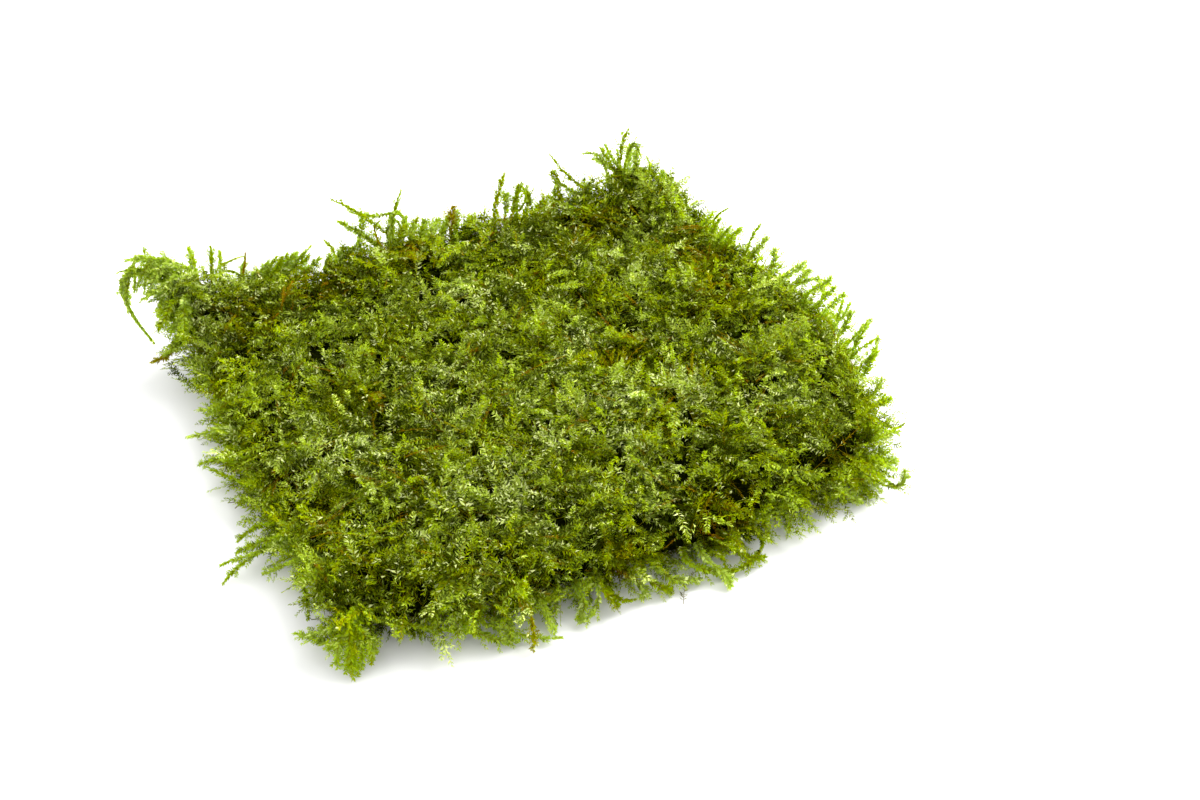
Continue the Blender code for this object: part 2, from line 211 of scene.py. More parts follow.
# single shoots: root, the point that the bend leans to, tip (all in mm), and kind
SHOOTS = {
    "corner_hooked_stem": ((-66, 52, 21.5), (-82, 57, 26), (-72, 50, 4.5), "rope"),
    "corner_tip_shoot": ((-68, 53, 20), (-69.5, 55, 23), (-69, 56, 26.5), "slim"),
    "corner_shoot_left": ((-60, 51, 17), (-60, 53, 20.5), (-59.5, 54, 25.5), "leafy"),
    "corner_shoot_right": ((-56.5, 50, 18), (-55.5, 52, 21.5), (-55, 53, 25), "slim"),
    "corner_red_stem": ((-51.5, 49, 15), (-49, 50, 17.5), (-48, 51, 22.5), "bare"),
    "corner_hanging_shoot": ((-65, 45, 10), (-69, 38.5, 8), (-74, 39, 8), "leafy"),
    "back_arch_low_shoot": ((-18.5, 49, 18), (-22, 51, 21.5), (-26, 53, 24), "slim"),
    "back_arch_long_shoot": ((-15, 50, 19), (-20, 52, 25.5), (-26.5, 54, 29.5), "slim"),
    "back_arch_upright_shoot": ((-14.5, 48, 20), (-14, 50, 24.5), (-10.5, 52, 29), "slim"),
    "back_brown_shoot": ((-0.5, 48, 18.5), (0, 49, 20.5), (1, 50, 23), "leafy"),
    "back_tall_shoot": ((10.5, 48, 19.5), (12, 50, 24.5), (14.5, 51, 28), "leafy"),
    "back_short_shoot": ((16, 48, 18.5), (16.5, 50, 21.5), (17.5, 50, 25), "slim"),
    "back_leaning_shoot": ((32.5, 48, 22), (29.5, 50, 24), (26, 51, 30.5), "leafy"),
    "back_curled_shoot": ((38.5, 46, 25.5), (39, 50, 29.5), (34.5, 52, 28), "slim"),
    "back_small_shoot": ((42, 48, 25), (41.5, 50, 27), (40, 51, 30), "slim"),
    "peak_shoot": ((42.5, 47, 27), (43, 48, 31.5), (45.5, 49, 34), "slim"),
    "peak_drooping_shoot": ((43.5, 45, 29.5), (45, 45, 35), (46.5, 44, 29), "slim"),
    "right_bare_stem": ((56, 23.5, 20), (55, 20.5, 25), (57, 18.5, 27), "bare"),
    "right_shoot_1": ((62.5, 16.5, 18), (63, 16, 21), (64, 15, 23), "slim"),
    "right_shoot_2": ((63.5, 2, 17), (64.5, -1.5, 21), (66.5, -2, 23), "leafy"),
    "right_shoot_3": ((65, -1, 16), (66.5, -3.5, 20), (69.5, -5, 19), "slim"),
    "right_shoot_4": ((68, -8, 16), (68, -10, 19), (69, -11, 21.5), "leafy"),
    "right_shoot_5": ((68, -23, 14), (68.5, -23.5, 18), (70, -24, 21.5), "leafy"),
    "right_shoot_6": ((67, -29, 11), (69, -29, 15), (71.5, -25.5, 17.5), "leafy"),
    "right_shoot_7": ((63.5, -37.5, 9), (64.5, -39.5, 12), (66.5, -40, 13), "leafy"),
    "right_curled_stem": ((64, -40.5, 8), (66, -44, 6.5), (68, -44, 8.5), "bare"),
    "right_corner_shoot": ((58.5, -54, 3), (62.5, -56, 2), (63, -53, 5), "slim"),
    "front_low_shoot": ((26, -60, 3), (21, -63.5, 1.5), (15, -60, 1.5), "slim"),
    "front_low_spur": ((18.5, -60, 1.5), (18, -62, 1), (17.5, -64.5, 1), "slim"),
    "front_orange_stem": ((-22.5, -61.5, 7), (-23, -64, 5), (-23.5, -64.5, 1), "slim"),
    "front_level_shoot": ((-30, -57, 3.5), (-24, -62, 1.5), (-17.5, -64, 1.5), "slim"),
    "front_middle_shoot": ((-8.5, -60, 5), (-9.5, -62.5, 3), (-13.5, -62, 1.5), "slim"),
    "front_middle_tip": ((-5.5, -60, 4), (-4.5, -62, 3), (-1.5, -61.5, 2.5), "slim"),
    "foot_shoot_left": ((-59, -52, 6), (-61, -49.5, 6), (-63.5, -46.5, 5), "leafy"),
    "foot_shoot_middle": ((-54.5, -53.5, 10), (-55.5, -55.5, 5), (-56, -58, 1.2), "leafy"),
    "foot_shoot_right": ((-52.5, -54.5, 9), (-51, -55.5, 6), (-52, -56.5, 2), "leafy"),
    "left_drooping_shoot": ((-59.5, -39, 8), (-59.5, -41.5, 6), (-60, -42.5, 3), "slim"),
    "left_long_shoot": ((-62.5, -24, 6), (-68.5, -24.5, 5), (-73, -25.5, 1), "slim"),
    "left_long_spur": ((-68, -24, 5), (-70, -23, 4), (-72.5, -22.5, 3), "slim"),
    "left_lower_shoot": ((-64.5, -6, 8), (-67, -2, 7), (-69.5, 2, 7), "leafy"),
    "left_upper_shoot": ((-66.5, 10, 9), (-69, 11, 8), (-71.5, 12.5, 7), "leafy"),
}
# thinner sprays between the single shoots: root, bend, tip (in mm), and kind
TWIGS = (
    # the curled corner
    ((-67, 52, 21), (-81.4, 56.5, 25.6), (-72.2, 50.3, 5), "slim"),
    ((-60, 49, 19), (-65, 51, 23), (-70.5, 52.5, 24.5), "leafy"),
    ((-61, 48, 17.5), (-66, 49.5, 21), (-71.5, 50.5, 22.5), "leafy"),
    ((-62, 47, 17), (-66.5, 47, 20), (-71, 46.5, 20.5), "leafy"),
    ((-62, 46, 15), (-66, 44.5, 18), (-70, 42.5, 17.5), "leafy"),
    ((-61, 44, 14), (-65, 42, 16.5), (-68.5, 39, 14.5), "leafy"),
    ((-66, 51, 22), (-69.5, 52, 22.5), (-74.5, 53.5, 22), "slim"),
    ((-65, 50, 20.5), (-69, 51, 21), (-73, 51.5, 19.5), "slim"),
    ((-62, 51, 20), (-64, 52, 24), (-66, 53, 26), "slim"),
    ((-62, 51, 22.5), (-68, 53, 26), (-73.5, 54, 25.5), "leafy"),
    ((-70.5, 52, 23.5), (-73, 53, 24), (-76, 53, 23.5), "bare"),
    ((-72.5, 54, 23.5), (-75.5, 53.5, 20), (-75, 53, 14.5), "leafy"),
    ((-74, 53, 20.5), (-75, 52, 18.5), (-76, 51, 17.5), "bare"),
    ((-72, 52, 25), (-72.5, 51, 22), (-73.5, 50, 19.5), "bare"),
    ((-69.5, 51, 25), (-70.5, 50, 22), (-71.5, 50, 18.5), "bare"),
    ((-65, 48, 21.5), (-68.5, 46, 22.5), (-73, 45, 20), "leafy"),
    ((-63.5, 50, 21.5), (-67, 50, 23.5), (-70, 50, 21.5), "leafy"),
    ((-67, 42, 19.5), (-69, 40, 18), (-71, 39, 16), "leafy"),
    ((-64, 42, 20), (-65, 38, 17.5), (-66.5, 36, 13), "leafy"),
    ((-59.5, 50, 23), (-59.5, 51, 25), (-60, 52, 26.5), "slim"),
    ((-54, 50, 21.5), (-53.5, 51, 23), (-53.5, 52, 24), "slim"),
    ((-53.5, 50, 21.5), (-51, 51, 21.5), (-48.5, 52, 21), "bare"),
    ((-63.5, 42, 20), (-64, 41, 14), (-69, 40, 10), "leafy"),
    ((-64.5, 41, 19.5), (-65, 40, 16), (-65.5, 39, 12.5), "leafy"),
    ((-64.5, 44, 19), (-66, 43, 17), (-69, 42, 15), "leafy"),
    ((-63.5, 40, 18), (-65.5, 39, 11.5), (-71, 39, 9), "leafy"),
    ((-68.5, 51, 25.5), (-71, 51, 24), (-73, 50, 19.5), "slim"),
    ((-66.5, 49, 25), (-69, 48, 23.5), (-71.5, 47, 19), "leafy"),
    ((-65.5, 47, 22.5), (-67.5, 46, 21), (-70, 45, 15), "leafy"),
    ((-50, 50, 13.5), (-50.5, 51, 15.5), (-48, 52, 21), "slim"),
    ((-53, 50, 19.5), (-50.5, 51, 18.5), (-50, 51, 15.5), "bare"),
    # the arch on the back edge
    ((-19, 50, 18.5), (-22, 51, 21.5), (-26, 52, 24.5), "leafy"),
    ((-21.5, 51, 20.5), (-20, 52, 23), (-20, 53, 24), "leafy"),
    ((-15.5, 49, 18.5), (-14.5, 51, 20.5), (-13.5, 52, 23.5), "leafy"),
    ((-12, 50, 19), (-11.5, 51, 20.5), (-13, 52, 22), "bare"),
    ((-18, 51, 20.5), (-18, 52, 21), (-16.5, 52, 22), "bare"),
    ((-25, 49, 16.5), (-24, 51, 17.5), (-21, 51, 18.5), "slim"),
    ((-13.5, 52, 23.5), (-18, 53, 22.5), (-22.5, 54, 25), "slim"),
    ((-28.5, 49, 18.5), (-28.5, 50, 19.5), (-30, 51, 21), "slim"),
    # the back edge
    ((15, 48, 18.5), (16, 49, 22.5), (18.5, 50, 25), "leafy"),
    ((16.5, 48, 19), (20, 49, 20.5), (18.5, 50, 24), "bare"),
    ((25, 47, 18), (25.5, 48, 20.5), (26.5, 49, 22.5), "leafy"),
    ((32, 47, 19.5), (28.5, 48, 22.5), (26, 49, 25), "slim"),
    ((30, 47, 18), (33, 48, 19.5), (35.5, 49, 21), "leafy"),
    ((-50, 50, 11), (-48.5, 51, 15.5), (-45.9, 51, 17.2), "leafy"),
    ((-49, 50, 12), (-46, 51, 16), (-43, 51, 19), "leafy"),
    ((-48, 50, 11.5), (-43, 51, 15), (-39.8, 51, 19.2), "leafy"),
    ((-46, 50, 12), (-40.5, 51, 15), (-37.5, 51, 19.3), "leafy"),
    ((-44, 50, 12.5), (-39, 51, 16), (-33.1, 51, 20.3), "slim"),
    ((-42, 50, 13), (-37, 51, 15), (-33.8, 51, 18), "leafy"),
    ((-39, 50, 13), (-34, 51, 14.5), (-31.5, 51, 16.5), "leafy"),
    ((-47, 50, 13), (-44, 51, 16.5), (-41.3, 51, 19.5), "leafy"),
    ((-45, 50, 13.5), (-41.5, 51, 17), (-38.6, 51, 19.6), "leafy"),
    ((-43, 50, 14), (-39.5, 51, 17), (-36.4, 51, 19.6), "leafy"),
    ((-41, 50, 14), (-37.5, 51, 16.5), (-34.8, 51, 19), "leafy"),
    ((-31, 50, 13), (-29.5, 51, 15), (-29, 51, 17), "leafy"),
    ((-29, 50, 13.5), (-27.5, 51, 15.5), (-26.5, 51, 17), "leafy"),
    ((-27, 50, 14), (-25.5, 51, 16), (-24.5, 51, 17.5), "leafy"),
    ((-14.5, 49, 22), (-13.5, 50, 24.5), (-12, 51, 26.5), "slim"),
    ((-13.5, 47, 18), (-13, 48, 20), (-11.5, 49, 21.6), "leafy"),
    ((-11, 47, 17), (-10.5, 48, 19.5), (-8.8, 49, 21), "leafy"),
    ((-8.5, 47, 17), (-8, 48, 19), (-6.8, 49, 20.4), "leafy"),
    ((-6, 47, 17), (-5.5, 48, 19), (-3.8, 49, 19.8), "leafy"),
    ((-3.8, 47, 16.5), (-3, 48, 18.5), (-1, 49, 19.6), "leafy"),
    ((-12, 49, 18), (-10.5, 50, 20.5), (-10.5, 51, 22.5), "leafy"),
    ((-10, 49, 17.5), (-9.5, 50, 19.5), (-7.5, 51, 21.5), "leafy"),
    ((-7.5, 49, 17), (-6, 50, 19), (-6, 51, 20.5), "leafy"),
    ((-5, 49, 17), (-4.5, 50, 18.5), (-2.5, 51, 20), "leafy"),
    ((-2.5, 49, 16.5), (-1.5, 50, 19), (0.5, 51, 20.5), "leafy"),
    ((0.5, 49, 16.5), (2, 50, 18.5), (2, 51, 21), "leafy"),
    ((3, 49, 16), (4.5, 50, 17.5), (6.5, 51, 19), "leafy"),
    ((13.5, 49, 18.5), (14.5, 50, 21), (14, 51, 23), "leafy"),
    ((19, 49, 19), (20.5, 50, 20.5), (19.5, 51, 22.5), "leafy"),
    ((21.5, 49, 17.5), (23.5, 50, 18.5), (25.5, 51, 19), "leafy"),
    ((27, 48, 21.5), (27, 49, 24.5), (26, 50, 26.5), "leafy"),
    # the peak
    ((41, 47, 24.5), (39, 48, 27.5), (36, 49, 28), "leafy"),
    ((41.5, 47, 24), (40, 49, 27), (38.5, 50, 30), "slim"),
    ((42, 47, 24), (42.5, 48, 26.5), (42.5, 49, 29), "slim"),
    ((44.5, 47, 24.5), (45, 48, 28), (46, 49, 29.5), "leafy"),
    ((45.5, 46, 23.5), (47.5, 46, 26.5), (46, 47, 29), "leafy"),
    ((48.5, 44, 23), (49.5, 44, 25.5), (48.5, 45, 28), "slim"),
    ((52, 42, 19.5), (52.5, 43, 21.5), (52, 44, 24), "leafy"),
    # the right side
    ((52, 23, 19.5), (53, 22, 22), (54, 20.4, 24.6), "leafy"),
    ((53.5, 20, 19), (54, 19.5, 22), (55, 18.3, 25.1), "leafy"),
    ((54, 17.5, 18.5), (55, 16.5, 21.5), (56, 14.9, 24.7), "leafy"),
    ((55, 16, 18), (56, 15, 21.5), (58, 13.3, 24.8), "leafy"),
    ((61, 12.5, 17), (62.5, 11.5, 20), (64.5, 12.5, 21), "leafy"),
    ((62.5, 6, 17), (63.5, 6, 19.5), (63, 6.5, 22), "leafy"),
    ((62.5, -2.5, 17), (66, -2.5, 20), (68, -1.5, 20), "leafy"),
    ((68, -14.5, 15), (69, -14, 17), (70, -13, 19), "slim"),
    ((67, -18, 14), (69, -18, 17), (69.5, -17, 19), "leafy"),
    ((63.5, -36, 11), (66, -37, 13), (67.5, -34.5, 14), "slim"),
    ((60.5, -45, 8), (63, -45.5, 8.5), (66.5, -45, 8), "leafy"),
    ((58.5, -50, 6), (61, -50.5, 6), (63, -50.5, 5.5), "leafy"),
    ((64, -9.5, 21), (65, -12.5, 24), (66, -13.5, 26.5), "leafy"),
    ((65, -15, 19.5), (66, -17, 23), (67, -17.5, 24.5), "leafy"),
    ((66, -18, 17.5), (67, -19, 20.5), (68, -18.5, 22.5), "leafy"),
    ((67, -22, 15), (68, -24, 18.5), (69, -24.5, 21.5), "leafy"),
    ((67, -25, 14), (68, -26.5, 17), (69, -28, 19), "leafy"),
    ((67, -27, 11), (68, -29, 14.5), (69, -29.5, 17), "leafy"),
    ((50, -51.5, 6), (52.5, -53.5, 4), (55, -54.5, 2), "leafy"),
    ((52, -50, 7), (54.5, -53.5, 5), (57.5, -54, 2), "leafy"),
    ((53.5, -49, 8), (56.5, -52, 6), (59.5, -54, 3), "leafy"),
    ((47.5, -52, 6), (49.5, -54, 4), (52, -55.5, 2), "leafy"),
    ((56, -48, 8), (58, -51, 7), (61.5, -52.5, 5), "leafy"),
    # the foot at the front corner
    ((-54, -53, 9), (-55.5, -55.5, 6.5), (-57, -56.5, 1.5), "leafy"),
    ((-55.5, -52, 9), (-58, -52, 8), (-60, -48.5, 6), "slim"),
    ((-55.5, -53, 8.5), (-58, -54.5, 6.5), (-58, -55.5, 2.5), "leafy"),
    ((-53.5, -53.5, 9), (-53, -56.5, 6.5), (-54, -57, 2), "leafy"),
    ((-52.5, -54, 9), (-51, -55.5, 7), (-51, -56, 4), "leafy"),
    ((-54.5, -53, 8.5), (-55, -56, 5.5), (-55, -57.5, 1), "leafy"),
    ((-56.5, -52, 9), (-59, -51, 8), (-62, -48.5, 5.5), "slim"),
    ((-55, -53, 8.5), (-57.5, -54, 7), (-59, -52.5, 4.5), "slim"),
    # the front edge
    ((-50, -52, 9), (-40.5, -56.5, 6), (-30, -59, 3), "slim"),
    ((-33.5, -58, 5), (-29, -61.5, 2), (-25, -61.5, 1.5), "leafy"),
    ((-26, -58.5, 5), (-26, -60.5, 4), (-27, -61.5, 1.5), "leafy"),
    ((-19, -59.5, 5), (-19, -61.5, 4), (-18, -62, 1.5), "leafy"),
    ((-11.5, -59.5, 5), (-11.5, -61.5, 4), (-13, -61.5, 1.5), "leafy"),
    ((-7, -59.5, 5), (-6, -61, 4), (-4.5, -61, 1.5), "leafy"),
    ((0, -59, 4), (2, -61, 3), (0, -61, 1.5), "leafy"),
    ((5.5, -59, 4), (8, -61.5, 2.5), (13, -61, 1.5), "leafy"),
    ((12, -59.5, 4), (15, -61.5, 2.5), (19.5, -61.5, 1.5), "leafy"),
    ((21.5, -59.5, 4), (24, -62, 2.5), (27, -60.5, 1.5), "leafy"),
    ((15.5, -61, 4), (17.5, -63, 2.5), (17.5, -64.5, 1), "leafy"),
    ((2.5, -59.5, 4), (5, -62.5, 2.5), (6.5, -61, 1.5), "leafy"),
    # the left side
    ((-61.5, -32, 8), (-63.5, -30.5, 6), (-65.5, -28, 3), "slim"),
    ((-62.5, -24.5, 8), (-66, -22.5, 6), (-69, -21, 3.5), "leafy"),
    ((-62.5, -20, 8), (-65, -17.5, 6), (-68, -18, 3.5), "slim"),
    ((-66.5, 0.5, 9), (-68, 3, 8), (-71, 4, 6), "slim"),
)
BROWN_SHOOTS = ("corner_red_stem", "back_brown_shoot", "front_orange_stem", "corner_hanging_shoot")
BROWN_TINTS = (0.2, 0.34)
ROPE_TONE = (0.7, 0.62)  # age and tint of the hooked stem

# how leaves sit on a stem: pairs of leaves, share of the stem that is bare, length, width,
# angle from the stem at its foot and at its tip, scatter round the stem, whether they are folded
# along their midrib, the stem's radius, the share of the frond's tint that the stem has, and how
# many straight lengths the stem is made of
Habit = namedtuple(
    "Habit", "pairs bare length width low_angle tip_angle scatter folded girth stem_tint steps"
)
MAT_FROND = Habit(13, 0.30, 1.15 * MM, 0.31 * MM, 1.15, 0.65, 0.3, False, 0.06 * MM, 0.5, 2)
LEADER = Habit(16, 0.28, 1.15 * MM, 0.31 * MM, 1.10, 0.60, 0.3, False, 0.08 * MM, 0.5, 3)
SPRAY = Habit(25, 0.12, 1.20 * MM, 0.34 * MM, 1.10, 0.65, 0.3, False, 0.09 * MM, 0.6, 4)
BRANCH = Habit(9, 0.05, 0.85 * MM, 0.29 * MM, 1.10, 0.55, 0.35, False, 0.05 * MM, 0.6, 2)
BROWN_STEM = Habit(12, 0.20, 0.80 * MM, 0.22 * MM, 0.90, 0.50, 0.5, False, 0.08 * MM, 0.9, 3)
FLAT_FROND = Habit(13, 0.10, 1.10 * MM, 0.30 * MM, 1.15, 0.60, 0.3, False, 0.10 * MM, 0.6, 3)
# single shoots and twigs, whose number of leaves follows from their length
KINDS = {
    "leafy": Habit(0, 0.0, 1.30 * MM, 0.46 * MM, 1.05, 0.70, 0.5, True, 0.13 * MM, 0.6, 8),
    "slim": Habit(0, 0.0, 1.00 * MM, 0.42 * MM, 0.95, 0.60, 0.7, True, 0.16 * MM, 0.65, 8),
    "bare": Habit(0, 0.0, 0.90 * MM, 0.44 * MM, 0.45, 0.30, 0.9, True, 0.22 * MM, 0.65, 12),
    "rope": Habit(0, 0.0, 1.25 * MM, 0.52 * MM, 0.65, 0.60, 0.9, True, 0.50 * MM, 0.8, 16),
}
PAIR_STEP = 0.16 * MM  # from one pair of leaves to the next on a single shoot
FEWEST_PAIRS = 4
FULL_SHOOT = 6 * MM  # a slim shoot longer than this has side branches
SHOOT_FACE = np.array((0.1, -0.5, 0.9))  # the way a single shoot's flat side looks
SHOOT_FACE_CHANCE = 0.3
# age and tint of single shoots and twigs, how much younger and brighter they are in the young, lit
# patches (young growth, and painted light) and by chance, and the most that their tint loses in brown ones
SHOOT_AGE = 0.68
TWIG_AGE = 0.74
SHOOT_BRIGHTENING = 0.2
SHOOT_AGE_CHANCE = 0.12
SHOOT_TINT = (0.56, 0.04)  # its middle and its spread
SHOOT_BROWNING = 0.2

# side branches: their length, how long the lowest and the highest are as shares of it, the chance in
# that, their angle from the stem with its spread, how far they turn along the stem towards their tips,
# and where they are: the side of the stem, the lowest and the highest place
LEADER_BRANCH = 4 * MM
SPRAY_BRANCH = 3.2 * MM
SHOOT_BRANCH = 2.7 * MM
LOWEST_BRANCH, HIGHEST_BRANCH = 1.25, 0.25
BRANCH_SIZES = (0.8, 1.2)
BRANCH_ANGLE = (0.75, 0.12)
BRANCH_TURN = 0.15
BRANCH_PLACES = ((1, 0.3, 0.45), (-1, 0.4, 0.6), (1, 0.6, 0.75))
SHOOT_BRANCH_PLACES = (
    (1, 0.1, 0.25),
    (-1, 0.25, 0.4),
    (1, 0.4, 0.55),
    (-1, 0.55, 0.7),
    (1, 0.7, 0.85),
)

# stems: the share of the frond's age that they have, how much younger they are at the tip, and
# their width there as a share of their width at the foot
STEM_AGE = 0.8
STEM_TIP_YOUTH = 0.25
STEM_TAPER = 0.45

# leaves: where they are broadest, as a share of their length, and how far their edges stand over the
# midrib, as a share of half their width
BROAD_PLACE = 0.38
FOLD = 0.45
LAST_LEAF = 0.995  # its place along the stem
TIP_LEAF = 0.6  # its size, as a share of the size of those at the foot
LEAF_SIZES = (0.7, 1.15)
LEAF_CURL = (-0.05, 0.12)  # its middle and its spread, as shares of the length
# how far chance moves leaves: along the stem in steps, from their angle and round their own length
LEAF_SHIFT = 0.9
LEAF_ANGLE_SPREAD = 0.15
LEAF_TWIST = 0.5
LEAF_AGES = (-0.16, 0.14)  # how much older and younger than their frond they are at its foot and tip
LEAF_AGE_SPREAD = 0.21
LEAF_TINT_SPREAD = 0.05
GREEN_LIMIT = 0.58  # the highest tint of a leaf that is not a painted glint

# pale leaves that are painted glints, standing for highlights on the leaves: how much longer and broader
# they are, their least age, their tint with its spread, the frond's tint from which they are more than the
# fewest, how fast they gain on it, and their fewest and most, as shares of all leaves
GLINT_SIZE = (1.05, 1.3)
GLINT_AGE = 0.72
GLINT_TINT = (0.80, 0.09)
GLINT_START = 0.56
GLINT_GAIN = 2.5
GLINT_SHARES = (0.02, 0.5)

# half the width and half the length of a leaf on the tone map, and the map's margins
TONE_WIDTH = 0.006
TONE_LENGTH = 0.05
TONE_ENDS = (0.01, 0.99)
# a leaf's faces, and where its corners lie round its tone
FOLDED_LEAF = (
    np.array(((0, 1, 2), (0, 2, 3))),
    np.array(((-TONE_LENGTH, 0), (0, TONE_WIDTH), (TONE_LENGTH, 0), (0, -TONE_WIDTH))),
)
FLAT_LEAF = (np.array(((0, 1, 2),)), np.array(((-TONE_LENGTH, 0), (0, TONE_WIDTH), (TONE_LENGTH, 0))))
HALF_LEAF_SIDE = np.array((1, -1, -1, 1))  # the side of the midrib that a flat leaf's width is on
LEAST_HEIGHT = 0.08 * MM  # of a leaf's or a stem's corner over the floor

# how fronds stand: how much they lean with those near them and by chance, how much more they rise and
# less they lean on the walls, how much they turn up there, and the lowest place of a root
LEAN_TOGETHER = 2.4
LEAN_CHANCE = 0.35
WALL_RISE = 0.7
WALL_LEAN = 0.4
WALL_UPWARD = 0.3
LOWEST_ROOT = 0.8 * MM
# how far their arcs rise, as a share of their length, and how much of that is outwards and upwards
ARCH = 0.16
ARCH_OUT, ARCH_UP = 0.8, 0.4
FACE_UP, FACE_CHANCE = 0.4, 0.4  # how much flat sides look up, and by chance elsewhere
SHORTEST_FROND = 4 * MM

# the fronds to the tufts' tips: their length, their arch, the most that they reach on at the edges, as
# a share of the edge reach, and how far their flat sides look elsewhere than up
LEADER_LENGTH = 8 * MM
LEADER_ARCH = 0.8 * MM
LEADER_REACH = 1.1
LEADER_FACE_CHANCE = 0.5

# a frond's age and tint: their middles, how far they drift over wide and over fine patches, and by chance
WIDE_PATCH, FINE_PATCH = 9 * MM, 3.5 * MM
AGE, AGE_WIDE, AGE_FINE, AGE_SPREAD = 0.40, 0.30, 0.86, 0.29
TINT, TINT_WIDE, TINT_FINE, TINT_SPREAD = 0.51, 0.08, 0.06, 0.03
PATCH_BRIGHTENING = 0.30  # how much younger and brighter fronds are in the young, lit patches, which are partly painted light
PATCH_DARKENING = 0.38  # and how much darker (older on the tone map) in the old ones, which are partly painted shade
GLINT_TINT_GAIN = (0.1, 0.3)  # the least and most that a glinting frond's tint gains, towards the painted glints
GLINTING_SHARE = 0.07  # of the fronds
GLINTING_PATCH = 0.6  # and this many more at the middle of a glint patch
BROWNING = 0.32  # the most that tint loses in a brown patch
EDGE_BRIGHTENING = 0.16  # how much younger and brighter fronds are at the mat's edges: young growth, and painted light of the glowing rim
EDGE_LEAST_BRIGHTNESS = 0.45  # and the least age of those that stand out there, which is partly painted light of the rim
DEPTH_DARKENING = 0.13  # how much darker fronds are, as age on the tone map, for each mm that their tips lie deep

# the cover: how many places are tried for each frond, how bare the mapped gaps are, the width of
# the small gaps with the drift at which they start and how fast they open, and the depth that tips
# are sunk to, which few reach
PLACES_TRIED = 1.5
GAP_BARENESS = 0.85
SMALL_GAP, SMALL_GAP_START, SMALL_GAP_GAIN = 3.0 * MM, 0.25, 4
DEEPEST_TIP = 3 * MM
# how far out of the walls fronds stand: the width of their tufts, the middle and the gain with the
# tufts' drift, and the least share that chance leaves of it
EDGE_TUFT, EDGE_OUT, EDGE_OUT_GAIN, EDGE_OUT_LEAST = 2.2 * MM, 0.5, 1.8, 0.6
# how far in a hollow the last fronds, leaders and sprays grow
HOLLOW_FROND, HOLLOW_LEADER, HOLLOW_SPRAY = 1 / 1.1, 0.4, 0.3

# the sprays over the mat: the half sizes of the rim, how much they drift with those near them and
# point out of the mat towards the rim, and how much they stand out of the surface, and up at the rim
RIM = (65 * MM, 55 * MM)
SPRAY_DRIFT, SPRAY_OUTWARD = 1.2, 1.6
SPRAY_RISE, SPRAY_RIM_RISE = 0.45, 0.25
# how far their tips lie over the surface as a share of their reach, their reaches, lengths and
# arches, the way that their flat sides look, and how much younger and greener than the fronds they are
SPRAY_OVER = 0.4
SPRAY_REACHES = (0.3, 2)  # in mm
SPRAY_LENGTHS = (8 * MM, 14 * MM)
SPRAY_ARCHES = (0.5 * MM, 1.6 * MM)
SPRAY_FACE_UP, SPRAY_FACE_CHANCE = 0.6, 0.3
SPRAY_TONE = (0.15, 0.01)

# brown stems: how many places are tried for each, the share kept of those outside the brown patches,
# how far their tips are under or over the mat's surface, their lengths, ages and tints
PLACES_TRIED_BROWN = 8
BROWN_ELSEWHERE = 0.12
BROWN_DEPTHS = (-1.0, 1.0)  # in mm
BROWN_LENGTHS = (5, 10)  # in mm
BROWN_AGES = (0.3, 0.9)
BROWN_STEM_TINTS = (0.1, 0.34)

# fronds under the mat: heights of their tips, how far chance turns them from the way outwards and from
# looking down, how far their roots are higher, lengths, how far they bend aside as a share of that,
# their ages, and the middle and spread of their tint
UNDER_HEIGHTS = (0.3, 1.2)  # in mm
UNDER_TURN = 0.9
UNDER_FACE_CHANCE = 0.2
UNDER_RISE = 0.8 * MM
UNDER_LENGTHS = (7, 12)  # in mm
UNDER_BEND = 0.12
UNDER_AGES = (0.1, 0.6)
UNDER_TINT = (0.32, 0.12)

# the stage, in metres: half the floor's width, the key light's size and place, and what the camera
# looks at
HALF_FLOOR = 2.0
KEY_SIZE = 0.6
KEY_PLACE = (0.5, 0.14, 0.52)
CAMERA_AIM = Vector((0.016, -0.003, 0))

# where the colours of old and of young growth lie on the scale of tints; the palest are painted glints
TINTS = ((0.05, "stem"), (0.25, "brown"), (0.5, "green"), (0.9, "glint"))
# what light turns to on its way through a leaf, as factors of the leaf's colour, and how much of it
# goes through
THROUGH_LEAF = (1.3, 1.5, 0.2, 1)
THROUGH_SHARE = 0.5
# the noise that makes the core's fibres, with as many of them to a metre as its scale, and their depth
CORE_FIBRES = {"Scale": 900, "Detail": 4, "Distortion": 2.5}
CORE_BUMP = 0.4 * MM

# seeds of the drifts, which are never 0, and of the dice
LEAN_SEED, WIDE_SEED, FINE_SEED, GAP_SEED, TUFT_SEED = 1, 3, 7, 11, 19
FRONDS_DICE, BROWN_DICE, UNDERSIDE_DICE, SPRAYS_DICE, SHOOTS_DICE = 5, 23, 31, 47, 100


def unit(vectors):
    return vectors / np.maximum(np.linalg.norm(vectors, axis=-1, keepdims=True), 1e-9)


def dot(first, second):
    return (first * second).sum(axis=-1, keepdims=True)


def between(low, high, share):
    return low + (high - low) * share


def near(places, patches):
    """How far each place is inside the nearest patch: 1 at its middle, fading outwards."""
    found = np.zeros(len(places))
    for x, y, reach in patches:
        away = np.hypot(places[:, 0] / MM - x, places[:, 1] / MM - y) / reach
        found = np.maximum(found, np.exp(-away**2))
    return found


def drift(places, width, seed):
    """A smooth random vector for each place, which changes over about the given width.

    The seed is never 0, which would take the time of day.
    """
    noise.seed_set(seed)
    return np.array([noise.noise_vector(Vector(place) / width) for place in places])


# routes (n, 3, 3): root, bend and tip; faces (n, 3): the way the flat side looks; tones (n, 2)
Fronds = namedtuple("Fronds", "routes faces tones")


def pick(fronds, chosen):
    return Fronds(*(values[chosen] for values in fronds))


